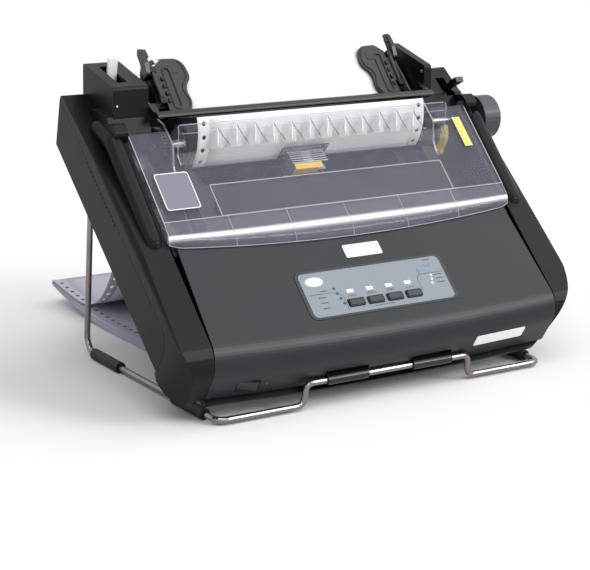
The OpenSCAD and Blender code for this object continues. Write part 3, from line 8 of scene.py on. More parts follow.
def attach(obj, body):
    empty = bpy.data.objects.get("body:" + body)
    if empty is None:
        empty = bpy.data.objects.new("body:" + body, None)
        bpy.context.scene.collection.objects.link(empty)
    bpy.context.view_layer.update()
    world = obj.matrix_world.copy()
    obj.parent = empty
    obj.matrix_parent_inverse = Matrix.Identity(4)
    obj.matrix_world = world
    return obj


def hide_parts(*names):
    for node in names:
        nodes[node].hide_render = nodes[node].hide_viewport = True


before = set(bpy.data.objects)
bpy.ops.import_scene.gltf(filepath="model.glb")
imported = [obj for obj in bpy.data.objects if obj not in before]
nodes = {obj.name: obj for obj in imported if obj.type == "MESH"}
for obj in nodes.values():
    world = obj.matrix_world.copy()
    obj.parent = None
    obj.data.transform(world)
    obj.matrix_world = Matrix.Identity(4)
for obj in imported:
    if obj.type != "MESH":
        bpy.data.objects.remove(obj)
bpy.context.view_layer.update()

# ---------------------------------------------------------------- sizes, in millimetres
TILT = math.radians(41.5)
LIFT = 2.0
ORIGIN = (7.5, 216.699)
LIP = (20.5, 12.0)
NOSE = (26.9, 56.6)
PANEL_SLOPE = math.radians(2.84)
CREASE = (167.5, 70.5)
HINGE = (265.5, 77.5)
LID_SLOPE = math.atan2(HINGE[1] - CREASE[1], HINGE[0] - CREASE[0])
COVER_T = 2.4
COVER_HALF = 189.5
COVER_FRONT = (144.5, 64.5)
HOOD_HALF = 148.0
HOOD_R = 24.2
HOOD_START = 226.0
PLATEN = (263.0, 55.0)
PAPER_R = 27.2
PAPER_HALF = 127.0
HOLE_X = 120.65
HOLE_PITCH = 12.7
HOLE_R = 2.0
TRACTOR = (297.0, 67.2)
TRACTOR_SLOPE = math.radians(8.2)
CREST = (347.2, 66.9)
CREST_R = 7.7
STACK_REAR = 447.0
STACK_H = 12.0
CURL = (290.0, 926.0)
UNDER_CURL = (285.0, 640.0)
LAY_Y = 385.0
SHEET_L = 304.8
BEZEL_S = 51.8
KEY_PITCH = 21.3
BOW = 5.0
PANEL_HALF = 188.5
FLOOR_TOP = 8.5
# Painted highlight along the cover's bent front, a bright line that stands in for a lamp's reflection: its v,
# how far its ends drop back, half its width, its depth
BAND_PAINTED_HIGHLIGHT = (155.6, 3.4, 3.7, 0.85)


# ---------------------------------------------------------------- places
def desk(x, y, z):
    """A point of the desk's own frame, in metres of the row frame."""
    return Vector(((x - ORIGIN[0]) / 1000, (y - ORIGIN[1]) / 1000, z / 1000))


def case(x, v, w):
    """A point of the leaning case: x across, v rearwards, w square to the base."""
    y = v * math.cos(TILT) - w * math.sin(TILT)
    z = v * math.sin(TILT) + w * math.cos(TILT) + LIFT
    return desk(x, y, z)


def sloped(origin, slope):
    """Places on a plane of the case: x across, s up the slope, n out of it."""
    c, s = math.cos(slope), math.sin(slope)
    return lambda x, u, n: case(x, origin[0] + u * c - n * s, origin[1] + u * s + n * c)


panel = sloped(NOSE, PANEL_SLOPE)
lid = sloped(CREASE, LID_SLOPE)
tractor = sloped(TRACTOR, TRACTOR_SLOPE)


def mirrored(place, side):
    return lambda x, u, n: place(side * x, u, n)


def rounded(cx, cy, w, d, r, n=5):
    """Outline of a rounded rectangle, counter-clockwise."""
    out = []
    for sx, sy, start in ((1, 1, 0), (-1, 1, 90), (-1, -1, 180), (1, -1, 270)):
        for i in range(n + 1):
            a = math.radians(start + 90 * i / n)
            out.append((cx + sx * (w / 2 - r) + r * math.cos(a), cy + sy * (d / 2 - r) + r * math.sin(a)))
    return out


def disc(cx, cy, r, n=20):
    """Outline of a circle."""
    turns = (2 * math.pi * i / n for i in range(n))
    return [(cx + r * math.cos(a), cy + r * math.sin(a)) for a in turns]


def shares(n):
    """Even steps from 0 to 1."""
    return [i / n for i in range(n + 1)]


def bar_between(a, b, width):
    """Outline of a straight printed line."""
    ax, ay = a
    bx, by = b
    length = math.hypot(bx - ax, by - ay)
    nx, ny = -(by - ay) / length * width / 2, (bx - ax) / length * width / 2
    return [(ax - nx, ay - ny), (bx - nx, by - ny), (bx + nx, by + ny), (ax + nx, ay + ny)]


# ---------------------------------------------------------------- shapes
class Shape:
    """Gathers faces for one piece."""

    def __init__(self):
        self.mesh = bmesh.new()

    def face(self, points):
        self.mesh.faces.new([self.mesh.verts.new(p) for p in points])

    def plate(self, outline, place, low, high, spot=0):
        """A flat plate from an outline, between two heights over a plane."""
        top = [self.mesh.verts.new(place(x, y, high)) for x, y in outline]
        under = [self.mesh.verts.new(place(x, y, low)) for x, y in outline]
        for loop in (top, under[::-1]):
            self.mesh.faces.new(loop).material_index = spot
        for i in range(len(top)):
            k = (i + 1) % len(top)
            self.mesh.faces.new((top[i], under[i], under[k], top[k])).material_index = spot

    def stroke(self, a, b, width, place, low, high):
        """A straight printed or raised line on a plane."""
        self.plate(bar_between(a, b, width), place, low, high)

    def ring(self, outer, inner, place, low, high):
        """A flat frame between two outlines of the same number of points."""
        rows = [[self.mesh.verts.new(place(x, y, h)) for x, y in line] for line, h in
                ((outer, low), (outer, high), (inner, high), (inner, low))]
        for i in range(len(outer)):
            k = (i + 1) % len(outer)
            for a in range(4):
                near, far = rows[a], rows[(a + 1) % 4]
                self.mesh.faces.new((near[i], near[k], far[k], far[i]))

    def grid(self, rows, closed=False):
        """A skin over rows of points."""
        made = [[self.mesh.verts.new(p) for p in row] for row in rows]
        for near, far in zip(made, made[1:]):
            for i in range(len(near) - (0 if closed else 1)):
                k = (i + 1) % len(near)
                self.mesh.faces.new((near[i], near[k], far[k], far[i]))
        return made

    def rod(self, points, radius, sides=8):
        """A round rod along points; radius may be a list."""
        rows = []
        last = len(points) - 1
        for i, p in enumerate(points):
            along = (points[min(i + 1, last)] - points[max(i - 1, 0)]).normalized()
            guide = Vector((1, 0, 0)) if abs(along.x) < 0.8 else Vector((0, 0, 1))
            u = along.cross(guide).normalized()
            v = along.cross(u)
            r = (radius[i] if isinstance(radius, list) else radius) / 1000
            rows.append([p + (u * math.cos(a) + v * math.sin(a)) * r for a in
                         (2 * math.pi * j / sides for j in range(sides))])
        made = self.grid(rows, closed=True)
        self.mesh.faces.new(made[0][::-1])
        self.mesh.faces.new(made[-1])

    def done(self, name, finishes, body, slot=None, sharp=32, thick=0.0, bevel=0.0, merge=True):
        """Makes the piece, gives it its finishes and lets it ride on a body."""
        if merge:
            bmesh.ops.remove_doubles(self.mesh, verts=self.mesh.verts, dist=2e-6)
        bmesh.ops.recalc_face_normals(self.mesh, faces=self.mesh.faces)
        data = bpy.data.meshes.new(name)
        self.mesh.to_mesh(data)
        self.mesh.free()
        data.shade_smooth()
        data.set_sharp_from_angle(angle=math.radians(sharp))
        for finish in finishes if isinstance(finishes, (list, tuple)) else (finishes,):
            data.materials.append(finish.material)
        piece = bpy.data.objects.new(name, data)
        bpy.context.scene.collection.objects.link(piece)
        if thick:
            shell = piece.modifiers.new("wall", "SOLIDIFY")
            shell.thickness = thick / 1000
            shell.offset = 0
        if bevel:
            edge = piece.modifiers.new("edge", "BEVEL")
            edge.width = bevel / 1000
            edge.segments = 2
            edge.limit_method = "ANGLE"
            edge.angle_limit = math.radians(40)
        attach(piece, body)
        return piece


# ---------------------------------------------------------------- finishes
def ink(r, g, b):
    """A colour written as 0 to 255, as seen on a screen."""
    def level(c):
        c /= 255
        return c / 12.92 if c <= 0.04045 else ((c + 0.055) / 1.055) ** 2.4
    return (level(r), level(g), level(b), 1.0)


DUST = ink(190, 190, 186)


class Level:
    """One value of a material; arithmetic on it adds Math nodes."""

    def __init__(self, board, socket):
        self.board, self.socket = board, socket

    def math(self, operation, *values):
        return self.board.add("ShaderNodeMath", {"operation": operation}, dict(enumerate(values)))

    def __add__(self, other): return self.math("ADD", self, other)
    def __radd__(self, other): return self.math("ADD", other, self)
    def __sub__(self, other): return self.math("SUBTRACT", self, other)
    def __rsub__(self, other): return self.math("SUBTRACT", other, self)
    def __mul__(self, other): return self.math("MULTIPLY", self, other)
    def __rmul__(self, other): return self.math("MULTIPLY", other, self)
    def __truediv__(self, other): return self.math("DIVIDE", self, other)
    def __pow__(self, other): return self.math("POWER", self, other)
    def __abs__(self): return self.math("ABSOLUTE", self)
    def wave(self): return self.math("SINE", self)
    def or_more(self, other): return self.math("MAXIMUM", self, other)


class Board:
    """A tree of nodes; every node but the arithmetic comes from add()."""

    def __init__(self, tree):
        self.tree = tree

    def add(self, kind, settings=None, inputs=None, out=0):
        node = self.tree.nodes.new(kind)
        for name, value in (settings or {}).items():
            setattr(node, name, value)
        for key, value in (inputs or {}).items():
            self.give(node.inputs[key], value)
        return Level(self, node.outputs[out])

    def give(self, socket, value):
        if isinstance(value, Level):
            self.tree.links.new(value.socket, socket)
        else:
            socket.default_value = value


class Finish(Board):
    """A procedural finish: one shader, with the nodes that vary it over the surface."""

    def __init__(self, name, colour, **fixed):
        self.material = bpy.data.materials.new(name)
        self.material.use_nodes = True
        super().__init__(self.material.node_tree)
        self.shader = self.tree.nodes["Principled BSDF"]
        self.colour = colour
        self.shader.inputs["Base Color"].default_value = colour
        for key, value in fixed.items():
            self.shader.inputs[key.replace("_", " ").title().replace("Ior", "IOR")].default_value = value
        self.where = self.add("ShaderNodeTexCoord", out="Object")

    def feed(self, socket, level):
        self.give(self.shader.inputs[socket], level)
        return self

    def noise(self, scale, detail=2.0, stretch=None, seed=(0, 0, 0)):
        spot = self.where
        if stretch or seed != (0, 0, 0):
            moved = {"Vector": self.where, "Location": seed, "Scale": stretch or (1, 1, 1)}
            spot = self.add("ShaderNodeMapping", None, moved)
        return self.add("ShaderNodeTexNoise", None, {"Vector": spot, "Scale": scale, "Detail": detail})

    def blend(self, share, a, b):
        return self.add("ShaderNodeMix", {"data_type": "RGBA"}, {0: share, 6: a, 7: b}, out=2)

    def smooth(self, level, low, high, to_low=0.0, to_high=1.0):
        return self.add("ShaderNodeMapRange", {"interpolation_type": "SMOOTHSTEP"},
                        {0: level, 1: low, 2: high, 3: to_low, 4: to_high})

    def axis(self, index):
        return self.add("ShaderNodeSeparateXYZ", None, {0: self.where}, out=index)

    def across(self, index):
        """Place in the leaning case, in millimetres: 1 is v, rearwards, and 2 is w, square to the base."""
        y, z = self.axis(1) * 1000 + ORIGIN[1], self.axis(2) * 1000 - LIFT
        c, s = math.cos(TILT), math.sin(TILT)
        return y * c + z * s if index == 1 else z * c - y * s

    def upward(self):
        """How far the surface faces up, from 0 to 1."""
        normal = self.add("ShaderNodeNewGeometry", None, None, out=1)
        return self.smooth(self.add("ShaderNodeSeparateXYZ", None, {0: normal}, out=2), 0.3, 0.95)

    def relief(self, height, depth, strength=1.0, soft_edge=0.0):
        """Bumps of the given depth in millimetres."""
        inputs = {"Height": height, "Distance": depth / 1000, "Strength": strength}
        if soft_edge:
            inputs["Normal"] = self.add("ShaderNodeBevel", {"samples": 4}, {"Radius": soft_edge / 1000})
        return self.feed("Normal", self.add("ShaderNodeBump", None, inputs))

    def dusted(self, share):
        """Slightly uneven colour, and a trace of dust on what faces up."""
        patches = self.smooth(self.noise(9, 4.0, seed=(3, 1, 2)), 0.35, 0.75)
        dust = self.upward() * patches * share
        cloud = self.smooth(self.noise(26, 3.0), 0.2, 0.8)
        shade = self.blend(cloud, scaled(self.colour, 0.9), scaled(self.colour, 1.12))
        return self.feed("Base Color", self.blend(dust, shade, DUST))

    def handled(self, roughness, spread=0.08):
        """Gloss that varies as on a part that is wiped and touched."""
        smear = self.noise(17, 4.0, stretch=(1, 2.2, 1), seed=(5, 0, 1))
        fine = self.noise(260, 1.0)
        return self.feed("Roughness", roughness - spread / 2 + smear * spread + fine * spread * 0.3)


def scaled(colour, k):
    """The same colour, lighter or darker."""
    return (colour[0] * k, colour[1] * k, colour[2] * k, 1.0)


def moulded(name, colour, roughness, grain, edge=0.5, dust=0.01, **fixed):
    """Injection moulded plastic with a fine spark-eroded grain."""
    finish = Finish(name, colour, **fixed)
    grit = finish.noise(1500, 1.0) + 0.5 * finish.noise(620, 1.0, seed=(1, 2, 3))
    finish.relief(grit, grain, 0.6, edge)
    return finish.dusted(dust).handled(roughness)


def rubbery(name, colour, roughness=0.62):
    finish = Finish(name, colour, roughness=roughness, specular_ior_level=0.35)
    finish.relief(finish.noise(900, 3.0) + 0.6 * finish.noise(140, 2.0), 0.08, 0.7, 0.4)
    return finish.dusted(0.10).handled(roughness, 0.16)


def drawn_metal(name, colour, roughness, run=(1, 1, 1), depth=0.02):
    """Metal with fine lines along the way it was drawn, rolled or turned."""
    finish = Finish(name, colour, metallic=1.0, roughness=roughness)
    lines = finish.noise(500, 2.0, stretch=run)
    finish.relief(lines, depth, 0.5, 0.25)
    tarnish = finish.smooth(finish.noise(34, 5.0, seed=(2, 2, 0)), 0.35, 0.8)
    finish.feed("Base Color", finish.blend(tarnish * 0.5, colour, scaled(colour, 0.72)))
    return finish.feed("Roughness", roughness + lines * 0.08 + tarnish * 0.12)


def printed_film(name, colour, roughness):
    """Printed film or a label, with a faint mottle."""
    fleck = 0.04
    finish = Finish(name, colour, roughness=roughness)
    mottle = finish.noise(900, 2.0) * 0.6 + finish.noise(60, 2.0) * 0.4
    finish.feed("Base Color", finish.blend(mottle, scaled(colour, 1 - fleck), scaled(colour, 1 + fleck)))
    finish.relief(mottle, 0.015, 0.5)
    return finish.handled(roughness, 0.08)


def clear_plastic(name, colour, see, rim, roughness, band=None, **fixed):
    """Clear moulding: thin where one looks straight through, denser at a slant and along its bent front; the
    denser bent front and the whiter line along it are painted highlight.
    """
    finish = Finish(name, colour, roughness=roughness, ior=1.49, **fixed)
    slant = finish.add("ShaderNodeLayerWeight", None, {"Blend": 0.5}, out=1)
    haze = finish.smooth(finish.noise(30, 3.0), 0.3, 0.8, 0.0, 0.03)
    cover = see + (rim - see) * slant ** 2.4 + haze
    if band:
        middle, sag, reach, depth = band
        x = (finish.axis(0) * 1000 + ORIGIN[0]) / COVER_HALF
        bulge = BOW * 2.0 - BOW * 2.2 * x * x
        unbent = (finish.across(1) + bulge * CREASE[0] / 19) / (bulge / 19 + 1)
        # painted highlight: a whiter, denser line along the bent front, standing in for a lamp's reflection
        painted_highlight = finish.smooth(abs(unbent - middle + sag * x * x), 0.0, reach, 1.0, 0.0)
        # the whole bent front is made a little denser too, a painted sheen
        front = finish.smooth(unbent, 146.0, 150.0) * finish.smooth(unbent, 166.0, 170.0, 1.0, 0.0)
        finish.feed("Base Color", finish.blend(painted_highlight, colour, ink(246, 247, 252)))
        hood = finish.smooth(finish.across(2), 75.0, 80.0)
        cover = (cover + painted_highlight * depth + front * 0.12) * (1.0 - hood * 0.5)
    finish.feed("Alpha", cover)
    finish.feed("Roughness", roughness + haze)
    return finish


def fanfold(name, colour, shade, low_painted_shade=None):
    """Paper: fibres and a little tooth; the last argument is painted shade, a darker colour given to the
    sheet where it nears the desk.
    """
    finish = Finish(name, colour, roughness=0.8, specular_ior_level=0.25)
    fibre = finish.noise(1400, 3.0, stretch=(1, 0.35, 1)) * 0.6 + finish.noise(180, 3.0) * 0.4
    tone = finish.blend(finish.smooth(fibre, 0.2, 0.8), shade, colour)
    if low_painted_shade:
        tone = finish.blend(finish.smooth(finish.axis(2), 0.05, 0.13, 1.0, 0.0), tone, low_painted_shade)
    finish.feed("Base Color", tone)
    finish.relief(fibre, 0.03, 0.6)
    return finish.feed("Roughness", 0.72 + fibre * 0.16)


case_black = moulded("case_black", ink(14, 15, 18), 0.36, grain=0.008, specular_ior_level=0.16)
case_lower = moulded("case_lower_black", ink(11, 12, 15), 0.38, grain=0.008, specular_ior_level=0.16)
panel_grey = moulded("front_panel_charcoal", ink(26, 28, 37), 0.36, grain=0.006, specular_ior_level=0.34)
inner_black = moulded("inner_black", ink(15, 16, 19), 0.38, grain=0.01, dust=0.02, specular_ior_level=0.3)
gloss_black = moulded("gloss_black", ink(13, 13, 16), 0.22, grain=0.01)
lever_black = moulded("lever_black", ink(15, 16, 18), 0.28, grain=0.015, specular_ior_level=0.4)
lever_white = moulded("lever_white", ink(232, 233, 232), 0.36, grain=0.02)
gap_yellow = moulded("gap_lever_yellow", ink(255, 220, 46), 0.34, grain=0.01)
flap_grey = moulded("flap_grey", ink(34, 35, 41), 0.32, grain=0.02, edge=0.9, specular_ior_level=0.4)
knob_grey = moulded("knob_grey", ink(52, 54, 63), 0.36, grain=0.02, edge=0.7)
key_grey = moulded("key_grey", ink(36, 37, 40), 0.32, grain=0.01, edge=0.5)
gear_black = moulded("gear_black", ink(30, 30, 34), 0.4, grain=0.01)
cassette_black = moulded("cassette_black", ink(18, 19, 22), 0.34, grain=0.008, specular_ior_level=0.3)
foam_black = rubbery("sleeve_rubber", ink(20, 20, 22))
clip_black = moulded("clip_black", ink(15, 15, 18), 0.26, grain=0.01, specular_ior_level=0.45)
platen_rubber = rubbery("platen_rubber", ink(26, 27, 30), 0.5)
wire = drawn_metal("stand_wire", ink(138, 132, 130), 0.16, depth=0.001)
shaft_steel = drawn_metal("shaft_steel", ink(205, 207, 210), 0.2, run=(0.04, 1, 1))
zinc = drawn_metal("frame_zinc", ink(150, 152, 157), 0.4, run=(1, 1, 0.2))
motor_shell = drawn_metal("motor_shell", ink(92, 94, 98), 0.42)
brass = drawn_metal("brass", ink(206, 168, 92), 0.26)
fins_alu = drawn_metal("head_fins", ink(186, 188, 195), 0.3, run=(0.1, 1, 1))
overlay_film = printed_film("overlay_film", ink(128, 139, 148), 0.34)
bezel_black = moulded("bezel_black", ink(20, 22, 30), 0.24, grain=0.01)
label_grey = printed_film("label_grey", ink(116, 117, 130), 0.34)
label_yellow = printed_film("label_yellow", ink(226, 215, 118), 0.4)
tag_yellow = printed_film("tag_yellow", ink(255, 212, 66), 0.4)
plate_white = printed_film("plate_white", ink(236, 238, 241), 0.26)
print_white = printed_film("print_white", ink(236, 238, 240), 0.4)
print_black = printed_film("print_black", ink(30, 31, 36), 0.45)
print_blue = printed_film("print_blue", ink(30, 128, 172), 0.4)
# the cover's smoke carries the painted highlight along its bent front
cover_clear = clear_plastic("cover_smoke", ink(150, 152, 166), 0.12, 0.5, 0.07, BAND_PAINTED_HIGHLIGHT,
                            specular_ior_level=0.5)
# whitish clear finish for painted highlights along edges and raised lines
glint = clear_plastic("cover_edge_painted_glint", ink(206, 208, 216), 0.5, 0.85, 0.12)
rib_clear = clear_plastic("rib_clear", ink(236, 238, 243), 0.10, 0.9, 0.05, specular_ior_level=0.9)
# white painted highlights and dark painted shade lines for the hood's ribs
rib_painted_highlight = clear_plastic("rib_painted_highlight", ink(250, 250, 252), 0.8, 0.95, 0.08)
rib_shade = clear_plastic("rib_shade", ink(84, 86, 98), 0.65, 0.9, 0.12)
# the sheet turns a darker lavender grey near the desk: painted shade
paper_white = fanfold("paper_white", ink(243, 243, 246), ink(234, 234, 238), ink(194, 189, 204))
# the stack gets the lavender grey of the web's low end: painted shade on white paper
stack_painted_shade_lavender = fanfold("stack_painted_shade_lavender", ink(196, 190, 208), ink(180, 174, 194))
hole_painted_shadow = printed_film("hole_shadow", ink(64, 60, 74), 0.8)


def weave():
    """Nylon ribbon."""
    finish = Finish("ribbon_weave", ink(22, 22, 26), roughness=0.6, specular_ior_level=0.3)
    threads = (finish.axis(0) * 9000).wave() * (finish.axis(2) * 9000).wave()
    finish.relief(threads, 0.03, 0.6)
    finish.feed("Roughness", 0.55 + threads * 0.1)
    return finish


def circuit():
    """Green board with its paler tracks."""
    finish = Finish("board_green", ink(26, 74, 48), roughness=0.4)
    tracks = finish.add("ShaderNodeTexVoronoi", {"feature": "DISTANCE_TO_EDGE", "distance": "CHEBYCHEV"},
                        {"Vector": finish.where, "Scale": 140.0})
    copper = finish.smooth(tracks, 0.03, 0.08)
    finish.feed("Base Color", finish.blend(copper, ink(58, 122, 84), ink(22, 66, 42)))
    finish.relief(tracks, 0.05, 0.5)
    return finish.handled(0.4)


def lamp_lens():
    """Dark lenses on the left of the panel and pale ones on its right."""
    finish = Finish("lamp_lens", ink(232, 236, 232), roughness=0.18)
    right = finish.smooth(finish.axis(0), 0.0, 0.01)
    finish.feed("Base Color", finish.blend(right, ink(46, 48, 50), ink(236, 240, 238)))
    return finish.handled(0.2, 0.05)


ribbon_cloth, board_green, lamp = weave(), circuit(), lamp_lens()

FINISHES = (
    (wire, "wire_stand"), (foam_black, "stand_sleeves carriage_belt"), (clip_black, "wire_clips"),
    (case_lower, "lower_case"), (case_black, "upper_case"), (panel_grey, "front_panel"),
    (gloss_black, "tear_bar power_rocker"), (bezel_black, "control_bezel"),
    (overlay_film, "control_overlay"), (key_grey, "key_1 key_2 key_3 key_4"), (lamp, "status_lamps"),
    (plate_white, "name_plates"),
    (cover_clear, "access_cover"), (label_grey, "cover_labels"),
    (zinc, "frame_left frame_right carriage_rail case_screws"),
    (shaft_steel, "platen_core tractor_drive_shaft tractor_support_shaft guide_shaft"),
    (platen_rubber, "platen_rubber"), (knob_grey, "platen_knob"),
    (gear_black, "platen_gear platen_bushes idler_gear_1 idler_gear_2 belt_idler"),
    (motor_shell, "feed_motor belt_motor power_supply"), (brass, "feed_pinion drive_pulley"),
    (inner_black, "tractor_left tractor_right pin_wheel_left pin_wheel_right carriage rear_sockets"),
    (flap_grey, "flap_left flap_right"), (lever_black, "lock_lever_left lock_lever_right release_lever"),
    (fins_alu, "print_head"), (tag_yellow, "head_tag"), (cassette_black, "ribbon_cassette ribbon_knob"),
    (ribbon_cloth, "ink_ribbon"), (lever_white, "select_lever"), (gap_yellow, "gap_lever"),
    (board_green, "main_board"), (paper_white, "paper_web"), (stack_painted_shade_lavender, "paper_stack"),
)
for finish, names in FINISHES:
    for name in names.split():
        mesh = nodes[name].data
        mesh.materials.clear()
        mesh.materials.append(finish.material)


# ---------------------------------------------------------------- fanfold paper
def arc(c, r, start, end, n):
    """Points of an arc, between two directions in degrees."""
    turns = (math.radians(start + (end - start) * t) for t in shares(n))
    return [(c[0] + r * math.cos(a), c[1] + r * math.sin(a)) for a in turns]


def bezier(a, b, c, d, t):
    s = 1 - t
    return tuple(s ** 3 * a[k] + 3 * s * s * t * b[k] + 3 * s * t * t * c[k] + t ** 3 * d[k] for k in (0, 1))


def lift_off(y, start, r):
    """How far the stack has curled up at y."""
    return 0.0 if y < start else r - math.sqrt(r * r - (y - start) ** 2)


def stack_top(y):
    return STACK_H + lift_off(y, *CURL)


def paper_line():
    """Points of the web's middle line in desk coordinates, from its leading edge to the stack."""
    slope = math.degrees(TRACTOR_SLOPE)
    turn_r = 6.0

    def under_tractor(s):
        return (TRACTOR[0] + s * math.cos(TRACTOR_SLOPE) + turn_r * math.sin(TRACTOR_SLOPE),
                TRACTOR[1] + s * math.sin(TRACTOR_SLOPE) - turn_r * math.cos(TRACTOR_SLOPE))
    turn = next(q for q in (under_tractor(i / 10) for i in range(-200, 201))
                if q[0] > PLATEN[0] and math.dist(q, PLATEN) >= turn_r + PAPER_R + 0.2)
    touch = math.degrees(math.atan2(turn[1] - PLATEN[1], turn[0] - PLATEN[0]))
    bend = 50.0
    body = arc((PLATEN[0] - PAPER_R + bend, PLATEN[1]), bend, 180 - 59, 180, 16)
    body += arc(PLATEN, PAPER_R, 180, 360 + touch, 44)
    body += arc(turn, turn_r, 180 + touch, 90 + slope, 8)
    body += arc(CREST, CREST_R, 90 + slope, -18, 14)

    def tilted(p):
        c, s = math.cos(TILT), math.sin(TILT)
        return p[0] * c - p[1] * s, p[0] * s + p[1] * c + LIFT
    line = [tilted(p) for p in body]
    a = line[-1]
    lean = math.radians(-18 + math.degrees(TILT) + 90)
    b = (a[0] - 150 * math.cos(lean), a[1] - 150 * math.sin(lean))
    e = (LAY_Y, stack_top(LAY_Y) + 1)
    rise = math.asin((LAY_Y - CURL[0]) / CURL[1])
    c = (e[0] - 100 * math.cos(rise), e[1] - 100 * math.sin(rise))
    line += [bezier(a, b, c, e, t) for t in shares(40)[1:]]
    for t in shares(6)[1:]:
        y = LAY_Y + (STACK_REAR - 3 - LAY_Y) * t
        line.append((y, stack_top(y) + 1))
    clean = [line[0]]
    for p in line[1:]:
        if math.dist(p, clean[-1]) > 0.01:
            clean.append(p)
    return clean


class Web:
    """Maps a length along the paper to its place."""

    def __init__(self, line):
        self.line = line
        self.at = [0.0]
        for a, b in zip(line, line[1:]):
            self.at.append(self.at[-1] + math.dist(a, b))
        self.length = self.at[-1]

    def point(self, s):
        s = min(max(s, 0), self.length - 1e-6)
        i = next(k for k in range(len(self.at) - 1) if self.at[k + 1] >= s)
        t = (s - self.at[i]) / (self.at[i + 1] - self.at[i])
        a, b = self.line[i], self.line[i + 1]
        return a[0] + (b[0] - a[0]) * t, a[1] + (b[1] - a[1]) * t

    def place(self, x, s):
        y, z = self.point(s)
        return desk(x, y, z)


def punched_strip(shape, place, x_mid, half, s0, s1, first_hole):
    """One edge strip of the web: a square cell round each sprocket hole."""
    cell, steps = HOLE_PITCH, 4
    s = first_hole - cell / 2
    while s > s0:
        s -= cell
    while s < s1 - 0.01:
        a, b = max(s, s0), min(s + cell, s1)
        middle = s + cell / 2
        whole = middle - HOLE_R > a + 0.3 and middle + HOLE_R < b - 0.3
        border = [(x_mid - half + 2 * half * i / steps, a) for i in range(steps)]
        border += [(x_mid + half, a + (b - a) * i / steps) for i in range(steps)]
        border += [(x_mid + half - 2 * half * i / steps, b) for i in range(steps)]
        border += [(x_mid - half, b - (b - a) * i / steps) for i in range(steps)]
        if whole:
            n = len(border)
            hole = [(x_mid + HOLE_R * math.cos(t), middle + HOLE_R * math.sin(t)) for t in
                    (math.radians(225 + 360 * i / n) for i in range(n))]
            mid = [((p[0] + 2 * q[0]) / 3, (p[1] + 2 * q[1]) / 3) for p, q in zip(border, hole)]
            for outer, inner in ((border, mid), (mid, hole)):
                for i in range(n):
                    k = (i + 1) % n
                    corners = (outer[i], outer[k], inner[k], inner[i])
                    shape.face([place(*corner) for corner in corners])
        else:
            shape.grid([[place(x_mid - half + 2 * half * t, a + (b - a) * u) for t in shares(steps)]
                        for u in shares(steps)])
        s += cell


def paper_sheet():
    """The continuous sheet, with its two lines of sprocket holes."""
    web = Web(paper_line())
    shape = Shape()
    inner = 2 * HOLE_X - PAPER_HALF
    stops = sorted(set(web.at))
    finest, last = [], -9.0
    for s in stops:
        if s - last > 1.2 or s == stops[-1]:
            finest.append(s)
            last = s
    long_run = []
    for a, b in zip(finest, finest[1:]):
        n = max(1, int((b - a) / 12))
        long_run += [a + (b - a) * i / n for i in range(n)]
    long_run.append(finest[-1])
    shape.grid([[web.place(-inner + 2 * inner * t, s) for t in shares(12)] for s in long_run])
    for side in (-1, 1):
        punched_strip(shape, web.place, side * HOLE_X, PAPER_HALF - HOLE_X, 0, web.length, 6.35)
    piece = shape.done("fanfold_sheet", paper_white, "printer", "paper", sharp=60, thick=0.12)
    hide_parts("paper_web")


def fanfold_stack():
    """Folded sheets under and behind the printer, curled up at the rear, the top one punched; their lavender
    grey is painted shade on white paper, and dark discs under the top sheet's holes are painted shadow.
    """
    shape = Shape()
    front, rear = STACK_REAR - SHEET_L, STACK_REAR
    layers = 9

    def inside(x, y, share):
        low = lift_off(y, *UNDER_CURL) + 0.1
        return desk(x, y, low + (stack_top(y) - 1.0 - low) * share)
    for i in range(layers):
        shift, step = 0.5 * math.sin(i * 1.7), 0.3 * math.sin(i * 2.4)
        rows = []
        low, high = i / layers, (i + 0.9) / layers
        for t in shares(24):
            y = front + 0.9 + step + (SHEET_L - 1.8) * t
            corners = ((-126.4, low), (126.4, low), (126.4, high), (-126.4, high))
            rows.append([inside(x + shift, y, share) for x, share in corners])
        made = shape.grid(rows, closed=True)
        shape.mesh.faces.new(made[0][::-1])
        shape.mesh.faces.new(made[-1])

    def on_top(x, y, z):
        return desk(x, y, stack_top(y) + z)

    def top(x, s):
        u = abs(2 * (s - front) / SHEET_L - 1)
        return on_top(x, s, -0.5 + 0.35 * u ** 6)
    inner = 2 * HOLE_X - PAPER_HALF
    shape.grid([[top(-inner + 2 * inner * t, front + SHEET_L * u) for t in shares(8)] for u in shares(40)])
    for side in (-1, 1):
        punched_strip(shape, top, side * HOLE_X, PAPER_HALF - HOLE_X, front, rear, front + 6.35)
        for k in range(24):
            # dark discs under the top sheet's holes: painted shadow
            hole = disc(side * HOLE_X, front + HOLE_PITCH * (k + 0.5), HOLE_R + 0.2, 12)
            shape.plate(hole, on_top, -0.95, -0.6, 1)
    piece = shape.done("fanfold_stack", (stack_painted_shade_lavender, hole_painted_shadow), "printer", "stack", sharp=40)
    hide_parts("paper_stack")


paper_sheet()
fanfold_stack()


# ---------------------------------------------------------------- clear cover
def hood_points():
    """Middle line of the hood's wall, from the plate up to its rim."""
    def corner(a, p, b, r, n):
        ua = Vector((a[0] - p[0], a[1] - p[1])).normalized()
        ub = Vector((b[0] - p[0], b[1] - p[1])).normalized()
        half = math.acos(ua.dot(ub)) / 2
        c = Vector(p) + (ua + ub).normalized() * r / math.sin(half)
        s, e = Vector(p) + ua * r / math.tan(half) - c, Vector(p) + ub * r / math.tan(half) - c
        phi = math.pi - 2 * half
        shift = [s * math.sin((1 - t) * phi) + e * math.sin(t * phi) for t in shares(n)]
        return [tuple(c + v / math.sin(phi)) for v in shift]
    reach = HOOD_R + 0.9
    rise = (HINGE[0] + reach * math.cos(math.radians(164)), HINGE[1] + reach * math.sin(math.radians(164)))
    line = [(HOOD_START, 74.68)] + corner((HOOD_START, 74.68), (236, 78.3), rise, 8, 4)
    return line + arc(HINGE, HOOD_R, 158, 122, 8)


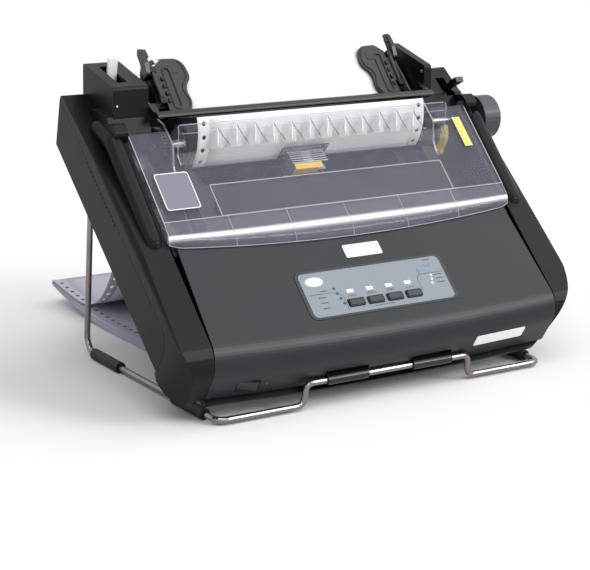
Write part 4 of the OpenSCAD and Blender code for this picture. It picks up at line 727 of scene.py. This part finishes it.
def hood_ribs():
    """Twelve half cones moulded in the hood, each with its hooked lower end; a dark line down each cone's
    right side is painted shade, and a white streak and hook on it are painted highlights.
    """
    high, low = (251.6, 96.4), (248.6, 94.6)
    ribs = [(-110.0 + i * 219.0 / 11, i % 4 in (1, 2)) for i in range(12)]
    shape = Shape()
    for x, is_tall in ribs:
        top = Vector(high if is_tall else low)
        foot = Vector((238.4, 79.2))
        along = foot - top
        out = Vector((along.y, -along.x)).normalized()
        if out.x > 0:
            out = -out
        rows = []
        for t in shares(8):
            middle = top + along * t
            reach = 1.0 + 6.8 * t ** 0.85
            rows.append([case(x + reach * math.cos(a) * 1.05, *(middle + out * reach * 0.85 * math.sin(a)))
                         for a in (math.pi * j / 14 for j in range(15))])
        shape.grid(rows)
    piece = shape.done("hood_ribs", rib_clear, "cover", "access_cover", sharp=60, thick=0.35)
    wall = hood_points()[::-1]
    run = [0.0]
    for a, b in zip(wall, wall[1:]):
        run.append(run[-1] + math.dist(a, b))

    def on_wall(s, proud):
        """A point just outside the hood's wall, s millimetres down from its rim."""
        i = next(k for k in range(len(run) - 1) if run[k + 1] >= s)
        a, b = Vector(wall[i]), Vector(wall[i + 1])
        along = (b - a).normalized()
        return a + along * (s - run[i]) + Vector((along.y, -along.x)) * proud
    # dark lines are painted shade along each cone's edge; the white hooks and streaks are painted highlights
    dark, bright = Shape(), Shape()
    for x, is_tall in ribs:
        start = 2.2 if is_tall else 4.2
        line = [case(x + 15.2 * t ** 1.1, *on_wall(start + (23.0 - start) * t, 1.5)) for t in shares(10)]
        dark.rod(line, 0.3, 6)
        end = line[-1]
        bright.rod([end + Vector((1.5 - 1.5 * math.cos(a), 0, -1.7 * math.sin(a))) / 1000 for a in
                    (math.radians(30 * k) for k in range(7))], 0.3, 6)
        streak = [case(x - 0.2 - 1.2 * t, *on_wall(start + (21.0 - start) * t, 2.0 + 5.0 * t))
                  for t in shares(8)]
        bright.rod(streak, [0.25, 0.4, 0.55, 0.7, 0.85, 0.95, 0.9, 0.65, 0.3], 8)
    dark.done("hood_rib_painted_shade_lines", rib_shade, "cover", "access_cover", sharp=60)
    bright.done("hood_rib_painted_highlights", rib_painted_highlight, "cover", "access_cover", sharp=60)
    return piece


def band_bulge(x):
    share = 1 - min(1, abs(x) / COVER_HALF) ** 2
    edge = max(0, abs(x) - (COVER_HALF - 14)) / 14
    return BOW * 2.2 * share - BOW * 0.2 - 3.2 * edge * edge


def band_point(x, t, out):
    """A point on the outside of the front band; t runs from the crease to its lower edge."""
    v = 168.6 - (168.6 - COVER_FRONT[0]) * t
    drop = 0.0 if t < 0.6 else (t - 0.6) / 0.4
    w = 70.55 - 1.85 * min(t / 0.75, 1) - (5.2 * drop ** 1.7)
    k = min(1, max(0, (CREASE[0] - v) / 19))
    return case(x, v - k * band_bulge(x) - out * 0.4, w + out)


def cover_mouldings():
    """Raised rectangle, divisions of the front band and the bright edges of the clear cover; the whitish edge
    finish on all of them is painted highlight.
    """
    shape = Shape()
    height = 0.35
    outer = rounded(0, 17.5, 259.2, 34.2, 1.2, 2)
    inner = rounded(0, 17.5, 257.6, 32.6, 0.8, 2)
    shape.ring(outer, inner, lid, 0.02, height)
    shape.stroke((-COVER_HALF + 1, 0.6), (COVER_HALF - 1, 0.6), 0.8, lid, 0.02, 0.3)
    for side in (-1, 1):
        edge, wall = side * (COVER_HALF - 0.6), side * (HOOD_HALF + 1.0)
        shape.stroke((edge, 0.5), (edge, 95.0), 0.9, lid, 0.02, 0.3)
        shape.stroke((wall, 58.0), (wall, 70.0), 0.7, lid, 0.02, 0.4)
    shape.done("cover_raised_lines_painted_glint", glint, "cover", "access_cover")
    # bright rods along the band's divisions, its front and side edges and the hood's rims: painted highlights
    rods = Shape()
    for x in (-124.0, -62.5, 0.0, 62.5, 124.0):
        rods.rod([band_point(x, t, 0.05) for t in shares(10)], 0.3, 6)
    end = COVER_HALF - 0.6
    rods.rod([band_point(-end + 2 * end * t, 1.0, 0.1) for t in shares(60)], 0.42, 6)
    for side in (-1, 1):
        rods.rod([band_point(side * end, t, 0.1) for t in shares(10)], 0.38, 6)
    rim = hood_points()
    for side in (-1, 1):
        rods.rod([case(side * (HOOD_HALF + COVER_T - 0.4), p[0] - 0.9, p[1] + 0.7) for p in rim], 0.32, 6)
    across = [-HOOD_HALF + 2 * HOOD_HALF * t for t in shares(8)]
    rods.rod([case(x, rim[-1][0] + 0.1, rim[-1][1]) for x in across], 0.45, 6)
    rods.rod([case(x, rim[-5][0] - 1.1, rim[-5][1] + 0.9) for x in across], 0.26, 6)
    rods.done("cover_painted_edge_glints", glint, "cover", "access_cover", sharp=60)


hood_ribs()
cover_mouldings()


def cover_label_print():
    """Grey label with its pale border, and the yellow strip with its cross marks."""
    shape = Shape()
    middle = (-163.5, 31.5)
    shape.ring(rounded(*middle, 34.6, 39.1, 3.0), rounded(*middle, 32.8, 37.3, 2.2), lid, 0.5, 0.62)
    shape.done("label_border", plate_white, "cover", "cover_labels")
    strip = Shape()
    strip.plate(rounded(172, 64.5, 9.3, 34.8, 0.6, 3), lid, 0.5, 0.6)
    strip.done("scale_strip", label_yellow, "cover", "cover_labels")
    marks = Shape()
    for i in range(7):
        s = 50.5 + i * 4.6
        marks.stroke((168.6, s), (171.0 + (i % 2), s), 0.35, lid, 0.6, 0.66)
    marks.done("scale_marks", print_black, "cover", "cover_labels")


cover_label_print()


# ---------------------------------------------------------------- control panel
def key_x(i):
    return (i - 1.5) * KEY_PITCH + 2.3


def digit_strokes(n):
    """Strokes of a plain digit in a cell 1 wide and 2 high."""
    pens = {
        0: [[(0, 0), (1, 0), (1, 2), (0, 2), (0, 0)]],
        1: [[(0.2, 1.6), (0.5, 2), (0.5, 0)]],
        2: [[(0, 2), (1, 2), (1, 1), (0, 1), (0, 0), (1, 0)]],
        3: [[(0, 2), (1, 2), (1, 0), (0, 0)], [(0.2, 1), (1, 1)]],
        4: [[(0, 2), (0, 1), (1, 1)], [(1, 2), (1, 0)]],
    }
    return [(a, b) for pen in pens[n] for a, b in zip(pen, pen[1:])]


def overlay_print():
    """What is printed on the overlay: plain frames, dots, blank legend tabs and digits."""
    top = 0.2
    white, dark, blue = Shape(), Shape(), Shape()

    def line(x0, s0, x1, s1, width):
        dark.stroke((x0, BEZEL_S + s0), (x1, BEZEL_S + s1), width, panel, top, top + 0.06)
    turns = (2 * math.pi * i / 32 for i in range(32))
    oval = [(-63.5 + 9.4 * math.cos(a), BEZEL_S + 13.6 + 4.8 * math.sin(a)) for a in turns]
    white.plate(oval, panel, top, top + 0.07)
    for i in range(4):
        cx, cy = key_x(i) - 1.2, BEZEL_S - 0.4
        white.plate(rounded(cx, cy, 7.2, 3.6, 0.5, 3), panel, top, top + 0.07)
        for a, b in digit_strokes(i + 1):
            start, end = (cx - 0.5 + a[0], cy - 1 + a[1]), (cx - 0.5 + b[0], cy - 1 + b[1])
            dark.stroke(start, end, 0.28, panel, top + 0.07, top + 0.1)
        line(cx - 5, -5.6, cx + 5, -5.6, 0.5)
        if i in (1, 2):
            line(cx - 5, -4.3, cx + 3, -4.3, 0.5)
    left = [(-75, 0.4), (-50, 0.4), (-42.5, -2.6), (-40.2, -6), (-40.2, -20)]
    right = [(76, 5.8), (49, 5.8), (45.4, 2), (45.4, -12)]
    for path in (left, right):
        for a, b in zip(path, path[1:]):
            line(*a, *b, 0.4)
    for i in range(3):
        line(-66, -3.4 - 5.6 * i, -58, -3.4 - 5.6 * i, 0.8)
        line(65, 3.4 - 4.2 * i, 74, 3.4 - 4.2 * i, 0.7)
    line(-62, 3.0, -54, 3.0, 0.8)
    line(-12, -19.3, 10, -19.3, 0.5)
    line(60, 20.2, 68, 20.2, 0.8)
    for x, s in ((49.5, 10.6), (50.3, 8.2)):
        blue.plate(rounded(x, BEZEL_S + s, 1.7, 1.7, 0.2, 2), panel, top, top + 0.07)
    for i in range(4):
        x, foot = 57.5 + 2.4 * i, BEZEL_S + 12.5
        blue.stroke((x, foot), (x, foot + 2 + 1.4 * (i % 2)), 0.9, panel, top, top + 0.05)
    white.done("overlay_white_print", print_white, "printer", "control_overlay")
    dark.done("overlay_dark_print", print_black, "printer", "control_overlay")
    blue.done("overlay_blue_print", print_blue, "printer", "control_overlay")


def panel_trim():
    """Rim round the overlay in the whitish edge finish, a painted highlight."""
    shape = Shape()
    middle = (0, BEZEL_S)
    shape.ring(rounded(*middle, 156.6, 46.2, 5.2), rounded(*middle, 155.6, 45.2, 4.8), panel, 0.15, 0.34)
    shape.done("overlay_rim_painted_glint", glint, "printer", "control_bezel")


overlay_print()
panel_trim()


def key_tops():
    """Slight dish in each key."""
    half_w, half_d, low = 7.9, 3.1, 1.84
    for i in range(4):
        shape = Shape()
        rows = []
        for u in shares(6):
            s = BEZEL_S - 13 - half_d + 2 * half_d * u
            rows.append([panel(key_x(i) - half_w + 2 * half_w * t, s,
                               low + 0.28 * (2 * t - 1) ** 2 + 0.25 * (2 * u - 1) ** 2) for t in shares(10)])
        shape.grid(rows)
        shape.done(f"key_{i + 1}_dish", key_grey, f"key_{i + 1}_body", "key", sharp=60, thick=0.2)


key_tops()


# ---------------------------------------------------------------- tear bar, tractors, stand, case
def tear_bar_marks():
    """Column marks along the tear bar and its saw edge."""
    shape = Shape()
    face = sloped((269.9, 89.3), math.atan2(84.6 - 89.3, 272.4 - 269.9))
    for i in range(25):
        x = -120 + i * 10
        shape.stroke((x, 0.6), (x, 2.6 if i % 2 else 4.6), 0.45, face, 0.02, 0.1)
    shape.done("tear_bar_marks", print_black, "printer", "tear_bar")
    saw = Shape()
    for i in range(150):
        x = -150 + i * 2.0
        tooth = ((-0.9, 270.2, 89.5), (0, 270.0, 90.0), (0.9, 270.2, 89.5), (0, 270.9, 89.7))
        saw.face([case(x + side, v, w) for side, v, w in tooth])
    saw.done("tear_bar_teeth", gloss_black, "printer", "tear_bar", merge=False)


def flap_details():
    """Slot edge, a dark plate that closes the slot as painted shade, stiffening lip and catches of each
    tractor flap.
    """
    lip = [(110.5, -4.5), (107.4, 0.5), (106.6, 6), (108.2, 12), (109.6, 17), (107.6, 23), (101.6, 29.5),
           (100.6, 36), (102.4, 44.5), (106, 49)]
    slot_s, slot_l = 19.5, 43.0
    for side, word in ((-1, "left"), (1, "right")):
        place = mirrored(tractor, side)
        shape = Shape()
        outer = rounded(HOLE_X, slot_s, 9.0, slot_l + 2.4, 3.4)
        shape.ring(outer, rounded(HOLE_X, slot_s, 6.6, slot_l, 2.9), place, 3.8, 4.7)
        shape.rod([place(x, s, 4.0) for x, s in lip], [0.6] + [1.0] * 8 + [0.6], 8)
        shape.plate(rounded(112.6, 40, 11, 9, 3), place, 3.8, 4.35)
        # dark plate filling the slot over the paper: painted shade
        shape.plate(rounded(HOLE_X, slot_s, 6.7, slot_l + 0.1, 2.9), place, 3.1, 3.4)
        shape.done(f"flap_{word}_ribs", flap_grey, f"flap_{word}_body", bevel=0.2)
        bits = Shape()
        for k, s in enumerate((6, 14, 22, 30)):
            bits.plate(rounded(127.6, s, 3.2, 4.2, 0.8, 3), place, 3.7, 5.4 + 0.5 * (k % 2))
        bits.done(f"flap_{word}_catches", inner_black, f"flap_{word}_body", bevel=0.2)


def tractor_details():
    """Ribs on the outside of each tractor block."""
    for side, word in ((-1, "left"), (1, "right")):
        shape = Shape()
        for s in (9.5, 13.5, 25.5, 29.5):
            shape.plate(rounded(135.8, s, 3.6, 1.2, 0.3, 2), mirrored(tractor, side), 0.4, 3.4)
        shape.done(f"tractor_{word}_ribs", inner_black, f"tractor_{word}_body")


def plate_screws():
    """Small screw heads on the inside of the right plate, which faces along x."""
    shape = Shape()
    plate_x = 150.9
    for v, w in ((300, 90), (340, 70), (290, 60)):
        for r, low, high in ((1.7, 0.0, 0.5), (1.2, 0.5, 0.8)):
            rows = [[case(plate_x - rise, y, z) for y, z in disc(v, w, r, 16)] for rise in (low, high)]
            shape.grid(rows, closed=True)
            shape.face(rows[1])
    shape.done("plate_screws", zinc, "printer", "zinc")


def wire_hooks():
    """Dark hook ends where each clip closes on the wire."""
    shape = Shape()
    wire_y, wire_z, reach = -2.0, 25.5, 3.9
    for x in (-68.5, -25.5, 25.5, 68.5):
        bend = arc((wire_y, wire_z), reach, -60, 226, 13)
        shape.rod([desk(x, y, z) for y, z in bend], 0.8, 8)
    shape.done("clip_hooks", clip_black, "printer", "wire_clips", sharp=60)


def switch_marks():
    """ON and OFF marks beside the rocker, as a plain 1 and 0."""
    shape = Shape()
    turn = math.atan2(NOSE[1] - LIP[1], NOSE[0] - LIP[0])
    c, s = math.cos(turn), math.sin(turn)
    up, size = 10.5, 1.2

    def face(x, u, n):
        bulge = BOW * (1 - (x / PANEL_HALF) ** 2)
        return case(x, LIP[0] + (up + u) * c - bulge - n * s, LIP[1] + (up + u) * s + n * c)
    for digit, x in ((1, -135.0), (0, -131.4)):
        for a, b in digit_strokes(digit):
            start, end = (x + a[0] * size, a[1] * size - 1), (x + b[0] * size, b[1] * size - 1)
            shape.stroke(start, end, 0.3, face, 0.1, 0.2)
    shape.done("switch_marks", label_grey, "printer", "front_panel")


def badge_border():
    """Thin printed border on the blank badge."""
    shape = Shape()
    lift = BOW * math.tan(PANEL_SLOPE) + 0.83
    middle = (1.5, 92)
    shape.ring(rounded(*middle, 37.6, 11.2, 0.8), rounded(*middle, 37.0, 10.6, 0.6), panel, lift, lift + 0.05)
    shape.done("badge_border", label_grey, "printer", "name_plates")


tear_bar_marks()
flap_details()
tractor_details()
wire_hooks()
switch_marks()
badge_border()
plate_screws()


def tower_screw_painted_glint():
    """Small screw end on the front of the left tower, coloured white as a painted highlight."""
    shape = Shape()
    front = sloped((290.0, 85.2), math.atan2(19.8, 18.4))
    shape.plate(disc(-191.7, 0, 0.9, 12), front, -0.2, 0.5)
    shape.done("tower_screw_painted_glint", plate_white, "printer", "zinc", bevel=0.15)


tower_screw_painted_glint()


def ribbon_mask_and_painted_shadow():
    """Mask that rides with the head, just in front of the paper; its dark plate also stands for the head's
    shadow on the paper, partly a painted shadow.
    """
    shape = Shape()

    def leaning(x, w, n):
        return case(x, 233.6 + n - (w - 58) * 0.02, w)
    shape.plate(rounded(-11, 67, 52, 17, 2.0), leaning, 0.0, 0.5)
    shape.done("ribbon_mask_and_painted_shadow", gloss_black, "carriage_body", "black", bevel=0.1)


ribbon_mask_and_painted_shadow()


def floor_gauze():
    """Dark dust gauze set in the slots of the case's floor, under the platen."""
    shape = Shape()
    for x in range(-140, 141, 20):
        slot = [(x - 2, 230), (x + 2, 230), (x + 2, 290), (x - 2, 290)]
        shape.plate(slot, case, FLOOR_TOP - 1.2, FLOOR_TOP - 0.8)
    shape.done("floor_gauze", foam_black, "printer", "black")


floor_gauze()


# ---------------------------------------------------------------- studio
FLOOR = 14.0
SKY_LIGHT = 0.40
# name, strength, angle and aim of each lamp
LIGHTS = (
    ("soft_key", 1.2, 50, (0.35, 0.55, -1.0)),
    ("soft_fill", 0.9, 60, (-0.7, 0.3, -0.8)),
    ("band_light", 1.2, 24, (-0.523, 0.724, -0.461)),
)


def studio():
    scene = bpy.context.scene
    scene.view_settings.view_transform = "Standard"
    ground = Shape()
    steps = [FLOOR * (2 * t - 1) for t in shares(8)]
    ground.grid([[Vector((x, y, -0.0002)) for x in steps] for y in steps])
    white = (0.93, 0.93, 0.93, 1)
    floor_white = Finish("floor_white", white, roughness=0.9, specular_ior_level=0.0)
    faint = floor_white.noise(3, 2.0)
    floor_white.feed("Base Color", floor_white.blend(faint, (0.925, 0.925, 0.925, 1), (0.94, 0.94, 0.94, 1)))
    data = bpy.data.meshes.new("floor")
    ground.mesh.to_mesh(data)
    data.materials.append(floor_white.material)
    floor = bpy.data.objects.new("floor", data)
    scene.collection.objects.link(floor)

    world = bpy.data.worlds.new("studio")
    world.use_nodes = True
    scene.world = world
    sky = Board(world.node_tree)
    seen = sky.add("ShaderNodeLightPath", out="Is Camera Ray")
    for kind in ("Is Glossy Ray", "Is Transmission Ray"):
        seen = seen.or_more(sky.add("ShaderNodeLightPath", out=kind))
    back = world.node_tree.nodes["Background"]
    sky.give(back.inputs["Color"], (1, 1, 1, 1))
    sky.give(back.inputs["Strength"], SKY_LIGHT + (1 - SKY_LIGHT) * seen)

    for name, strength, angle, aim in LIGHTS:
        lamp_data = bpy.data.lights.new(name, "SUN")
        lamp_data.energy = strength
        lamp_data.angle = math.radians(angle)
        light = bpy.data.objects.new(name, lamp_data)
        light.rotation_euler = Vector(aim).to_track_quat("-Z", "Y").to_euler()
        scene.collection.objects.link(light)

    yaw, pitch, roll = (math.radians(a) for a in (32.8, 14.42, 0.79))
    look = Vector((math.sin(yaw) * math.cos(pitch), math.cos(yaw) * math.cos(pitch), -math.sin(pitch)))
    right = Vector((math.cos(yaw), -math.sin(yaw), 0))
    up = right.cross(look)
    right, up = math.cos(roll) * right + math.sin(roll) * up, -math.sin(roll) * right + math.cos(roll) * up
    lens = bpy.data.cameras.new("view")
    lens.sensor_width = 36
    lens.lens = 1812.6 / 590 * 36
    lens.clip_end = 60
    camera = bpy.data.objects.new("view", lens)
    turn = Matrix((right, up, -look)).transposed().to_4x4()
    camera.matrix_world = Matrix.Translation(desk(-931.2, -1285.9, 508.4 + LIFT)) @ turn
    scene.collection.objects.link(camera)
    scene.camera = camera


studio()
